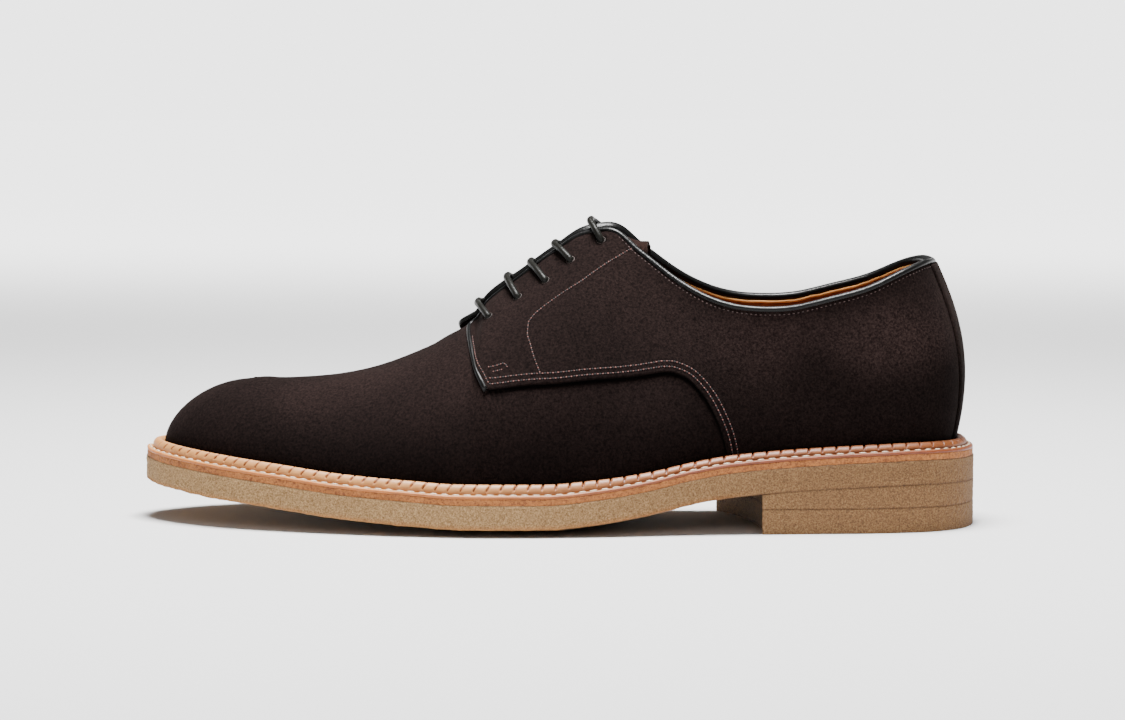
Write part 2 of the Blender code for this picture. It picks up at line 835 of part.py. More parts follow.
def make_tongue(finish):
    """Tongue under the facings, arched across the gap between them."""
    first, last = turn(TONGUE_TOP), turn(THROAT) + 1e-6
    places = [place for place in lateral_places() if first <= place <= last]
    depth = -(WALL + 2.0 * GAP)
    points = []
    for place in places:
        lateral = [lifted(place, step, depth) for step in TONGUE_STEPS]
        medial = [lifted(mirrored(place), step, depth) for step in reversed(TONGUE_STEPS)]
        span = (lateral[-1] - medial[0]).length / FACING_GAP
        middle = (lateral[-1] + medial[0]) / 2.0
        middle.z += TONGUE_CROWN * span
        points += lateral + [middle] + medial
    width = 2 * len(TONGUE_STEPS) + 1
    tongue = new_object("tongue", points, grid_faces(len(places), width), finish)
    orient_outwards(tongue, Vector((0.0, 0.0, 1.0)))
    solidify(tongue, TONGUE, 0.0)
    return tongue


# Lace

LACE_UPRIGHT = Vector((0.3, 0.2, 1.0))


def tube(points, radius, sides):
    """Points and faces of a closed tube along a path."""
    rings = []
    faces = []
    for i, point in enumerate(points):
        run = (points[min(i + 1, len(points) - 1)] - points[max(i - 1, 0)]).normalized()
        first = run.cross(LACE_UPRIGHT).normalized()
        second = run.cross(first)
        for k in range(sides):
            angle = math.tau * k / sides
            rings.append(point + (first * math.cos(angle) + second * math.sin(angle)) * radius)
    faces += grid_faces(len(points), sides, closed=True)
    faces.append(tuple(range(sides)))
    faces.append(tuple(range(len(rings) - sides, len(rings))))
    return rings, faces


def facing_edge(x):
    """Place and step where the facing's edge passes X, in front of the slit as well."""
    place = place_at(x)
    low, high = FACING_LOWEST_STEP, 1.0
    for _ in range(30):
        middle = (low + high) / 2.0
        if surface(place, middle).y > FACING_GAP / 2.0:
            low = middle
        else:
            high = middle
    return place, high


def lace_bar(place, step):
    """Path of one bar: over the facing's edge, across the gap and over the other edge."""
    cover = QUARTER_STEP + GAP + LACE / 2.0
    ahead_x = surface(place, 1.0).x + LACE_ADVANCE
    front, end = facing_edge(ahead_x)
    lift = BINDING_MARGIN + LACE_FRONT_RISE * max(ahead_x - along(THROAT), 0.0)
    halves = []
    for spot, ahead in ((place, front), (mirrored(place), mirrored(front))):
        half = [lifted(spot, step, cover)]
        for part in (0.35, 0.7, 1.0):
            between = step + (end - step) * part
            half.append(lifted(spot + (ahead - spot) * part, between, cover + lift * part))
        up = (surface(ahead, end) - surface(ahead, end - RIB_STEP)).normalized()
        half.append(half[-1] + up * (BINDING_HEIGHT + GAP))
        halves.append(half)
    lateral, medial = halves
    centre = (lateral[-1] + medial[-1]) / 2.0
    return lateral + [centre] + list(reversed(medial))


def make_lace(finish):
    """Five bars, and the runs between them in the gap of the facings."""
    bars = [lace_bar(place, step) for place, step in eyelet_places()]
    points, faces = [], []
    for bar in bars:
        ring_points, ring_faces = tube(bar, LACE / 2.0, 8)
        faces += [tuple(index + len(points) for index in face) for face in ring_faces]
        points += ring_points
    lace = new_object("lace", points, faces, finish)

    points, faces = [], []
    side = 1.0
    for near, far in zip(bars, bars[1:]):
        ends = []
        for bar in (near, far):
            ends.append(bar[len(bar) // 2] + Vector((0.0, side * LACE_RUN_OUT, 0.0)))
        drop = Vector((0.0, 0.0, -LACE_RUN_DROP))
        lead = (ends[1] - ends[0]) * LACE_RUN_LEAD
        path = [ends[0], ends[0] + lead + drop, ends[1] - lead + drop, ends[1]]
        ring_points, ring_faces = tube(path, LACE_RUN_THIN * LACE / 2.0, 6)
        faces += [tuple(index + len(points) for index in face) for face in ring_faces]
        points += ring_points
        side = -side
    runs = guide(new_object("lace_runs", points, faces))
    boolean(lace, runs, "UNION")
    return lace


def main():
    for item in list(bpy.data.objects):
        bpy.data.objects.remove(item, do_unlink=True)
    suede = material("suede", (0.030, 0.020, 0.017), 0.95)
    suede_strip = material("suede_strip", (0.026, 0.017, 0.015), 0.95)
    grain = material("grain_leather", (0.012, 0.011, 0.010), 0.4)
    lining = material("lining_leather", (0.48, 0.22, 0.08), 0.6)
    veg = material("welt_leather", (0.72, 0.46, 0.24), 0.55)
    edge = material("edge_leather", (0.60, 0.31, 0.12), 0.6)
    crepe = material("crepe", (0.52, 0.38, 0.23), 0.85)
    cord = material("waxed_cord", (0.010, 0.009, 0.008), 0.45)
    make_outsole(crepe)
    make_heel(crepe)
    make_midsole(edge)
    make_welt(veg)
    make_insole(lining)
    make_upper(suede)
    make_back_strip(suede_strip)
    make_binding(grain)
    make_tongue(suede)
    make_lace(cord)


main()
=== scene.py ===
# %% [markdown]
# # A left derby shoe in suede
# The imported model is the frame: every piece below is made around it, in metres, with +X to the toe,
# +Y to the outer side and +Z up. We load it first.

import functools
import math

import bmesh
import bpy
from mathutils import Matrix, Vector, noise


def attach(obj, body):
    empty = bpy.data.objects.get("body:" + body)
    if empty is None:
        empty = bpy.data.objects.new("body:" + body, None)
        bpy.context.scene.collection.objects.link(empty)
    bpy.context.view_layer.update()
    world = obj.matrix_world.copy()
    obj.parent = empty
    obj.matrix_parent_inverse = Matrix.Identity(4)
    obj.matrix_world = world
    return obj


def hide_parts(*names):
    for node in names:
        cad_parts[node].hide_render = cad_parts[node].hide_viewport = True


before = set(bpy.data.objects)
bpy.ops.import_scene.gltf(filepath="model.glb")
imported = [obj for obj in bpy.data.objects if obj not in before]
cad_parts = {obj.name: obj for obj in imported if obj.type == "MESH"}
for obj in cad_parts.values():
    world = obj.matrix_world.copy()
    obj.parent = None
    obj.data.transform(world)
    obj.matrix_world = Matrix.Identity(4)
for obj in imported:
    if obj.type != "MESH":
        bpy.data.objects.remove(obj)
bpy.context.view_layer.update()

# %% [markdown]
# ## The camera
# The photograph is a studio side view from a little above, with a long lens. A camera 1.35 m away
# and 0.17 m up, turned 4.6 degrees off the side, puts the toe, the heel and the floor where it has them.

# %% Camera
CAMERA_PLACE = Vector((-0.001, 1.3523, 0.170))
CAMERA_TILT = math.radians(85.327)
CAMERA_TURN = math.radians(184.6)
CAMERA_LENS = 117.9

camera_data = bpy.data.cameras.new("camera")
camera_data.lens = CAMERA_LENS
camera_data.sensor_width = 36.0
camera = bpy.data.objects.new("camera", camera_data)
camera.location = CAMERA_PLACE
camera.rotation_euler = (CAMERA_TILT, 0.0, CAMERA_TURN)
bpy.context.scene.collection.objects.link(camera)
bpy.context.scene.camera = camera
print("camera", tuple(camera.location))

# %% [markdown]
# ## The last
# A shoe is built over a last, so every panel follows one form. These are the sizes of the frame's own
# model: the outline of the sole, its rise at heel and toe, the top line, and the shape of the ribs
# that run from the welt up to it. Lengths are shares of the named sizes.

# %% Sizes of the last and the sole
SOLE_LENGTH = 0.307
BALL_WIDTH = 0.108
HEEL_CENTRE = 0.0435
HEEL_HEIGHT = 0.0173
TOE_SPRING = 0.0146
OUTSOLE_EDGE = 0.0087
CROWN = 0.0028
TOP_PIECE = 0.009
MIDSOLE = 0.0015
WELT = 0.0015
BEAD_HEIGHT = 0.0036
INSOLE = 0.003
HEEL_LENGTH_LATERAL = 0.0762
HEEL_LENGTH_MEDIAL = 0.0955
BREAST_HOLLOW = 0.0055
UPPER_INSET = 0.0066
WALL = 0.0018
QUARTER_STEP = 0.0011
INSTEP_RISE = 0.0905
COLLAR_RISE = 0.0668
TOE_RISE = 0.0247
MEDIAL_LIFT = 0.0016
COLLAR_WIDTH = 0.056
FACING_GAP = 0.012
LACE = 0.0025
GAP = 0.0003
THROAT = 0.5783
SLIT = 0.98 * FACING_GAP / COLLAR_WIDTH

# %% Outline and underside of the sole
OUTLINE_COLUMNS = ("share", "lateral", "medial")
OUTLINE = (
    (0.000, -0.032, -0.032),
    (0.020, 0.167, -0.232),
    (0.060, 0.260, -0.310),
    (0.120, 0.312, -0.335),
    (0.200, 0.347, -0.325),
    (0.280, 0.384, -0.292),
    (0.360, 0.433, -0.266),
    (0.440, 0.490, -0.272),
    (0.520, 0.529, -0.315),
    (0.580, 0.541, -0.366),
    (0.660, 0.522, -0.430),
    (0.740, 0.478, -0.458),
    (0.820, 0.415, -0.431),
    (0.890, 0.337, -0.357),
    (0.940, 0.246, -0.274),
    (0.975, 0.152, -0.181),
    (1.000, -0.012, -0.012),
)
UNDERSIDE_COLUMNS = ("share", "heel", "toe", "crown")
UNDERSIDE = (
    (0.000, 0.96, 0.000, 0.00),
    (0.060, 1.00, 0.000, 0.00),
    (0.120, 0.97, 0.000, 0.00),
    (0.200, 0.90, 0.000, 0.00),
    (0.280, 0.76, 0.000, 0.15),
    (0.330, 0.58, 0.000, 0.35),
    (0.380, 0.33, 0.000, 0.60),
    (0.440, 0.11, 0.000, 0.90),
    (0.500, 0.00, 0.000, 1.00),
    (0.600, 0.00, 0.000, 1.00),
    (0.660, 0.00, 0.082, 0.93),
    (0.740, 0.00, 0.226, 0.75),
    (0.820, 0.00, 0.468, 0.45),
    (0.890, 0.00, 0.667, 0.20),
    (0.950, 0.00, 0.816, 0.10),
    (1.000, 0.00, 1.000, 0.05),
)
# %% Top line and ribs of the last
TOP_COLUMNS = ("share", "along", "lateral", "medial", "collar", "instep", "toe", "lift")
TOP = (
    (0.000, 0.0505, -0.11, -0.11, 1.000, 0.000, 0.000, 0.0),
    (0.020, 0.0600, 0.32, -0.52, 0.996, 0.000, 0.000, 0.3),
    (0.060, 0.0850, 0.68, -0.83, 0.952, 0.000, 0.000, 0.8),
    (0.120, 0.1310, 0.90, -0.97, 0.862, 0.000, 0.000, 1.0),
    (0.200, 0.2010, 1.00, -1.00, 0.795, 0.000, 0.000, 1.0),
    (0.280, 0.2730, 0.98, -0.96, 0.640, 0.125, 0.000, 0.8),
    (0.330, 0.3220, 0.84, -0.81, 0.313, 0.440, 0.000, 0.3),
    (0.370, 0.3640, 0.63, -0.60, 0.100, 0.712, 0.000, -0.1),
    (0.405, 0.4020, 0.42, -0.41, 0.000, 0.910, 0.000, 0.3),
    (0.435, 0.4360, 0.27, -0.27, 0.000, 0.998, 0.000, 0.8),
    (0.460, 0.4640, SLIT, -SLIT, 0.000, 0.990, 0.000, 1.0),
    (0.500, 0.5020, SLIT, -SLIT, 0.000, 0.918, 0.000, 0.9),
    (0.540, 0.5400, SLIT, -SLIT, 0.000, 0.822, 0.000, 0.7),
    (0.5783, 0.5783, SLIT, -SLIT, 0.000, 0.722, 0.000, 0.3),
    (0.590, 0.5910, 0.00, 0.00, 0.000, 0.668, 0.000, 0.0),
    (0.600, 0.6020, 0.00, 0.00, 0.000, 0.640, 0.000, 0.0),
    (0.640, 0.6410, 0.00, 0.00, 0.000, 0.558, 0.000, 0.0),
    (0.690, 0.6890, 0.00, 0.00, 0.000, 0.400, 0.270, 0.0),
    (0.740, 0.7350, 0.00, 0.00, 0.000, 0.240, 0.635, 0.0),
    (0.790, 0.7780, 0.00, 0.00, 0.000, 0.110, 0.953, 0.0),
    (0.840, 0.8140, 0.00, 0.00, 0.000, 0.030, 1.150, 0.0),
    (0.890, 0.8400, 0.00, 0.00, 0.000, 0.000, 1.194, 0.0),
    (0.940, 0.8560, 0.00, 0.00, 0.000, 0.000, 1.126, 0.0),
    (0.970, 0.8620, 0.00, 0.00, 0.000, 0.000, 1.073, 0.0),
    (1.000, 0.8650, 0.00, 0.00, 0.000, 0.000, 1.000, 0.0),
)
RIB_COLUMNS = ("share", "lean", "foot", "slope", "lateral_top", "medial_top", "quarter", "back")
RIBS = (
    (0.000, 0.27, 0.39, 64.0, 0.38, 0.38, 1.0, 1.0),
    (0.030, 0.22, 0.38, 70.0, 0.36, 0.36, 1.0, 0.0),
    (0.100, 0.14, 0.36, 79.0, 0.35, 0.35, 1.0, 0.0),
    (0.200, 0.10, 0.35, 82.0, 0.34, 0.34, 1.0, 0.0),
    (0.280, 0.08, 0.36, 80.0, 0.34, 0.34, 1.0, 0.0),
    (0.340, 0.06, 0.38, 74.0, 0.34, 0.35, 0.6, 0.0),
    (0.400, 0.05, 0.40, 62.0, 0.33, 0.36, 0.2, 0.0),
    (0.450, 0.04, 0.42, 44.0, 0.32, 0.37, 0.0, 0.0),
    (0.500, 0.04, 0.44, 34.0, 0.33, 0.39, 0.0, 0.0),
    (0.560, 0.05, 0.47, 22.0, 0.35, 0.43, 0.0, 0.0),
    (0.600, 0.06, 0.48, 6.0, 0.37, 0.46, 0.0, 0.0),
    (0.660, 0.08, 0.48, 0.0, 0.41, 0.50, 0.0, 0.0),
    (0.740, 0.10, 0.48, 0.0, 0.46, 0.53, 0.0, 0.0),
    (0.840, 0.10, 0.47, 0.0, 0.50, 0.54, 0.0, 0.0),
    (1.000, 0.06, 0.46, 0.0, 0.44, 0.44, 0.0, 0.0),
)
# %% Edges of the quarter and lace holes
EDGE_COLUMNS = ("along", "rise")
QUARTER_EDGE = (
    (0.2860, -0.100),
    (0.2930, 0.070),
    (0.3050, 0.190),
    (0.3220, 0.295),
    (0.3430, 0.370),
    (0.3660, 0.405),
    (0.3970, 0.413),
    (0.4600, 0.428),
    (0.5130, 0.422),
    (0.5640, 0.401),
    (0.5705, 0.403),
)
FACING_EDGE = (
    (0.5705, 0.403),
    (0.5880, 0.510),
    (0.6010, 0.610),
    (0.6065, 0.680),
    (0.6040, 0.740),
)
# X and Z of each lace hole on the outer side, from the top one down
EYELETS = (
    (0.0926, 0.1034),
    (0.1034, 0.0963),
    (0.1124, 0.0889),
    (0.1223, 0.0828),
    (0.1328, 0.0758),
)

# %% [markdown]
# ## Reading the tables
# A table becomes a smooth curve with a cubic that never overshoots its points, the same one the frame
# was drawn with. Places run round the shoe: 0 at the heel, 1 at the toe along the outer side, and on
# to 2 back along the inner side. Cosine spacing puts more of them at the round ends.

# %% Curves through the tables
def columns(names, rows):
    """Turn a table's rows into named lists."""
    return {name: [row[i] for row in rows] for i, name in enumerate(names)}


def turn(share):
    """Place round the sole for a share of its length."""
    return math.acos(1.0 - 2.0 * min(max(share, 0.0), 1.0)) / math.pi


def share_of(place):
    """Share of the length for a place on the outer side."""
    return 0.5 - 0.5 * math.cos(math.pi * place)


def curve(xs, ys, x):
    """Cubic curve through the points that never overshoots them."""
    last = len(xs) - 2
    i = 0
    while i < last and x > xs[i + 1]:
        i += 1

    def secant(k):
        return (ys[k + 1] - ys[k]) / (xs[k + 1] - xs[k])

    def tangent(k):
        if k == 0:
            return secant(0)
        if k == len(xs) - 1:
            return secant(k - 1)
        before, after = secant(k - 1), secant(k)
        if before * after <= 0.0:
            return 0.0
        return 2.0 * before * after / (before + after)

    step = xs[i + 1] - xs[i]
    t = (x - xs[i]) / step
    rise = ys[i] * (1 + 2 * t) * (1 - t) ** 2 + ys[i + 1] * t * t * (3 - 2 * t)
    return rise + step * (tangent(i) * t * (1 - t) ** 2 - tangent(i + 1) * t * t * (1 - t))


OUTLINE_TABLE = columns(OUTLINE_COLUMNS, OUTLINE)
UNDERSIDE_TABLE = columns(UNDERSIDE_COLUMNS, UNDERSIDE)
TOP_TABLE = columns(TOP_COLUMNS, TOP)
RIB_TABLE = columns(RIB_COLUMNS, RIBS)
for table in (OUTLINE_TABLE, UNDERSIDE_TABLE, TOP_TABLE, RIB_TABLE):
    table["turn"] = [turn(share) for share in table["share"]]


def read(table, name, share):
    """Value of a table's column at a share of the length."""
    return curve(table["turn"], table[name], turn(share))


def along(share):
    return share * SOLE_LENGTH - HEEL_CENTRE


def share_at(x):
    return min(max((x + HEEL_CENTRE) / SOLE_LENGTH, 0.0), 1.0)


def side_of(place):
    """Side and place within it, for a walk round the shoe."""
    place = place % 2.0
    if place <= 1.0:
        return "lateral", place
    return "medial", 2.0 - place


def blend(low, high, value):
    """0 below low, 1 above high, and smooth between them."""
    t = min(max((value - low) / (high - low), 0.0), 1.0)
    return t * t * (3.0 - 2.0 * t)


print("heel at", along(0.0), "toe at", along(1.0))

# %% [markdown]
# ## Levels of the sole
# A crepe sole is laid in sheets, so every layer above it repeats the curve of its underside: flat
# under the ball, up at the toe, and up onto the heel. One function gives that curve and the others
# add the layers' thicknesses.

# %% Levels and outline
NEIGHBOUR = 0.004


def ground(x):
    """Edge of the sole's underside: raised at the heel by its lifts and at the toe by its spring."""
    share = share_at(x)
    heel = read(UNDERSIDE_TABLE, "heel", share) * HEEL_HEIGHT
    return heel + read(UNDERSIDE_TABLE, "toe", share) * TOE_SPRING


def crown(x):
    return CROWN * read(UNDERSIDE_TABLE, "crown", share_at(x))


def outsole_top(x):
    return ground(x) + crown(x) + OUTSOLE_EDGE


def midsole_top(x):
    return outsole_top(x) + GAP + MIDSOLE


def welt_top(x):
    return midsole_top(x) + GAP + WELT


@functools.lru_cache(maxsize=None)
def edge(place):
    """Point of the sole's edge and the level direction into the sole."""

    def border(where):
        side, local = side_of(where)
        share = share_of(local)
        return Vector((along(share), BALL_WIDTH * read(OUTLINE_TABLE, side, share), 0.0))

    run = (border(place + NEIGHBOUR) - border(place - NEIGHBOUR)).normalized()
    return border(place), Vector((run.y, -run.x, 0.0))


def outline(place, inset=0.0):
    point, inward = edge(place)
    return point + inward * inset


def all_round(count):
    """Places round the shoe, the last one on the first, for a grid that closes on itself."""
    return [2.0 * i / (count - 1) for i in range(count - 1)] + [0.0]


print("welt at the toe", welt_top(along(1.0)))

# %% [markdown]
# ## Ribs of the upper
# Leather pulled over a last stands up from the welt, bulges and bends over to the top line. A cubic
# rib with two handles holds that shape well, and it is cheap: four points for each place, kept in a
# cache, give any point on the rib and, with its two neighbours, the direction out of the leather.

# %% Ribs
RIB_COUNT = 3000
STRIP_SEAT = 0.0006
TOP_PULL = 0.004
EVEN_REACH = 0.020
NEAR_STEP = 0.01
SEARCH_ROUNDS = 14
NUDGE = 0.002


def plain_rib(place):
    """The four control points of the rib at a place, straight from the tables."""
    side, local = side_of(place)
    share = share_of(local)
    inset = UPPER_INSET + QUARTER_STEP * read(RIB_TABLE, "quarter", share)
    inset += (STRIP_SEAT + GAP) * read(RIB_TABLE, "back", share)
    foot = outline(place, inset)
    foot.z = welt_top(foot.x) + GAP
    collar = read(TOP_TABLE, "collar", share) * COLLAR_RISE
    instep = read(TOP_TABLE, "instep", share) * INSTEP_RISE
    toe = read(TOP_TABLE, "toe", share) * TOE_RISE
    lift = MEDIAL_LIFT * read(TOP_TABLE, "lift", share) if side == "medial" else 0.0
    x = along(read(TOP_TABLE, "along", share))
    y = read(TOP_TABLE, side, share) * COLLAR_WIDTH / 2.0
    top = Vector((x, y, welt_top(along(share)) + collar + instep + toe + lift))
    inward = edge(place)[1]
    reach = top - foot
    height = reach.z * read(RIB_TABLE, "foot", share)
    first = foot - inward * (height * read(RIB_TABLE, "lean", share)) + Vector((0.0, 0.0, height))
    level = (Vector((reach.x, reach.y, 0.0)) + inward * TOP_PULL).normalized()
    slope = math.radians(read(RIB_TABLE, "slope", share))
    handle = reach.length * read(RIB_TABLE, side + "_top", share)
    second = top - (level * math.cos(slope) + Vector((0.0, 0.0, math.sin(slope)))) * handle
    return foot, first, second, top


@functools.lru_cache(maxsize=None)
def even_rib(k):
    """One of RIB_COUNT ribs round the shoe, evened out with its neighbours except beside the slit."""
    place = 2.0 * k / RIB_COUNT
    share = share_of(side_of(place)[1])
    reach = EVEN_REACH * (1.0 - blend(0.40, 0.43, share) + blend(0.63, 0.68, share))
    if reach < 1e-4:
        return plain_rib(place)
    ribs = [plain_rib(place - reach), plain_rib(place), plain_rib(place + reach)]
    return tuple((a + b * 2.0 + c) / 4.0 for a, b, c in zip(*ribs))


@functools.lru_cache(maxsize=None)
def rib(place):
    """The rib at any place, between the two nearest even ones."""
    at = place % 2.0 / 2.0 * RIB_COUNT
    k = int(at)
    ribs = zip(even_rib(k % RIB_COUNT), even_rib((k + 1) % RIB_COUNT))
    return tuple(a.lerp(b, at - k) for a, b in ribs)


def rib_height(place):
    """Straight distance from the rib's foot to the top line."""
    return (rib(place)[3] - rib(place)[0]).length

# %% Points on the last
def surface(place, step):
    """Point of the last's outside: step 0 at the welt, 1 at the top line."""
    foot, first, second, top = rib(place)
    rest = 1.0 - step
    lower = foot * rest**3 + first * (3 * rest * rest * step)
    return lower + second * (3 * rest * step * step) + top * step**3


def normal(place, step):
    low = max(step - NEAR_STEP, 0.0)
    high = min(step + NEAR_STEP, 1.0)
    up = surface(place, high) - surface(place, low)
    run = surface(place + NEIGHBOUR, step) - surface(place - NEIGHBOUR, step)
    return up.cross(run).normalized()


def lifted(place, step, height):
    """Point above the last's surface by a height."""
    return surface(place, step) + normal(place, step) * height


def spot(x, z, side="lateral"):
    """Place and step of the point that is seen at X and Z from the side, found by closing in on it."""
    place, step = turn(share_at(x)), 0.6
    for _ in range(SEARCH_ROUNDS):
        signed = place if side == "lateral" else 2.0 - place
        ahead = place + NUDGE if side == "lateral" else 2.0 - place - NUDGE
        here = surface(signed, step)
        right = (surface(ahead, step) - here) / NUDGE
        up = (surface(signed, step + NUDGE) - here) / NUDGE
        dx, dz = x - here.x, z - here.z
        scale = right.x * up.z - right.z * up.x
        place += min(max((dx * up.z - dz * up.x) / scale, -0.03), 0.03)
        step += min(max((dz * right.x - dx * right.z) / scale, -0.1), 0.1)
        step = min(max(step, -0.05), 0.995)
    return (place if side == "lateral" else 2.0 - place), max(step, 0.0)


print("instep", tuple(surface(turn(0.435), 1.0)))

# %% [markdown]
# ## Sheets, sweeps and small parts
# Three helpers make almost every mesh. A sheet is a grid whose corners are moved onto the form, with
# a map of real distances for patterns. A sweep is a grid rolled into a tube along a path, with its
# ends filled. The third puts a finished mesh in the scene and lets it ride on the shoe.

# %% Mesh helpers
MAP_UNITS = 10.0
MERGE = 2e-6


def put_in_scene(name, work, finish):
    """Turn a bmesh into an object at the origin that rides on the shoe."""
    mesh = bpy.data.meshes.new(name)
    work.to_mesh(mesh)
    work.free()
    mesh.materials.append(finish)
    mesh.shade_smooth()
    piece = bpy.data.objects.new(name, mesh)
    bpy.context.scene.collection.objects.link(piece)
    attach(piece, "root")
    print(name, len(mesh.polygons), "faces")
    return piece


def stands_for(piece, slot, *nodes):
    """Hide the solids of the frame that a piece stands for. The slot is not used."""
    for node in nodes:
        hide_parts(node)
    return piece


def sheet(name, across, up, point, finish, inside=None, shade=None):
    """Grid of across by up corners, each put where point(i, j) says.

    inside gives points that the faces look away from. Without it the sheet is a closed one, and its
    normals are worked out. shade(i, j) fills a colour attribute that materials can read, for real
    colour marks and for painted shade."""
    work = bmesh.new()
    bmesh.ops.create_grid(work, x_segments=across - 1, y_segments=up - 1, size=0.5)
    distance = work.loops.layers.uv.new("distance")
    tint_and_shade = work.verts.layers.float_color.new("tint_and_shade") if shade else None
    corners = {}
    for vert in work.verts:
        corners[vert] = (round((vert.co.x + 0.5) * (across - 1)), round((vert.co.y + 0.5) * (up - 1)))
    lengths = [0.0]
    middle = up // 2
    for i in range(1, across):
        lengths.append(lengths[-1] + (point(i, middle) - point(i - 1, middle)).length)
    for face in work.faces:
        for loop in face.loops:
            i, j = corners[loop.vert]
            loop[distance].uv = (lengths[i] * MAP_UNITS, j / (up - 1))
    for vert, (i, j) in corners.items():
        vert.co = point(i, j)
        if shade:
            vert[tint_and_shade] = (shade(i, j),) * 3 + (1.0,)
    bmesh.ops.remove_doubles(work, verts=work.verts, dist=MERGE)
    bmesh.ops.dissolve_degenerate(work, edges=work.edges, dist=1e-7)
    if inside:
        outward = sum(
            face.normal.dot(face.calc_center_median() - inside(face.calc_center_median())) * face.calc_area()
            for face in work.faces
        )
        if outward < 0.0:
            bmesh.ops.reverse_faces(work, faces=work.faces)
    else:
        bmesh.ops.recalc_face_normals(work, faces=work.faces)
    return put_in_scene(name, work, finish)


def thicken(piece, thickness):
    """Give a sheet its wall, grown inwards."""
    wall = piece.modifiers.new("wall", "SOLIDIFY")
    wall.thickness = thickness
    wall.offset = -1.0
    wall.use_quality_normals = True
    return piece


def core(point):
    """Point deep inside the shoe, level with a point of its wall."""
    return Vector((min(max(point.x, -0.01), 0.215), 0.003, welt_top(point.x) + 0.016))


def millimetres(section):
    """A section drawn in millimetres, in metres."""
    return [(out / 1000.0, up / 1000.0) for out, up in section]


def sweep(name, path, frames, section, finish):
    """Closed tube along a path: frames give the section's two directions at each point."""
    count = len(section(0))

    def point(i, j):
        out, up = frames[i]
        a, b = section(i)[j % count]
        return path[i] + out * a + up * b

    piece = sheet(name, len(path), count + 1, point, finish)
    work = bmesh.new()
    work.from_mesh(piece.data)
    bmesh.ops.holes_fill(work, edges=[e for e in work.edges if e.is_boundary], sides=0)
    bmesh.ops.recalc_face_normals(work, faces=work.faces)
    work.to_mesh(piece.data)
    work.free()
    piece.data.shade_smooth()
    return piece

# %% [markdown]
# ## Finishes
# Every material is one shader with a few noise patterns in it. A helper sets the shader's own colour,
# roughness and sheen, and small helpers add what varies: a mottled colour and a bump at its real scale.

# %% Material helpers
WHITE = (1.0, 1.0, 1.0)


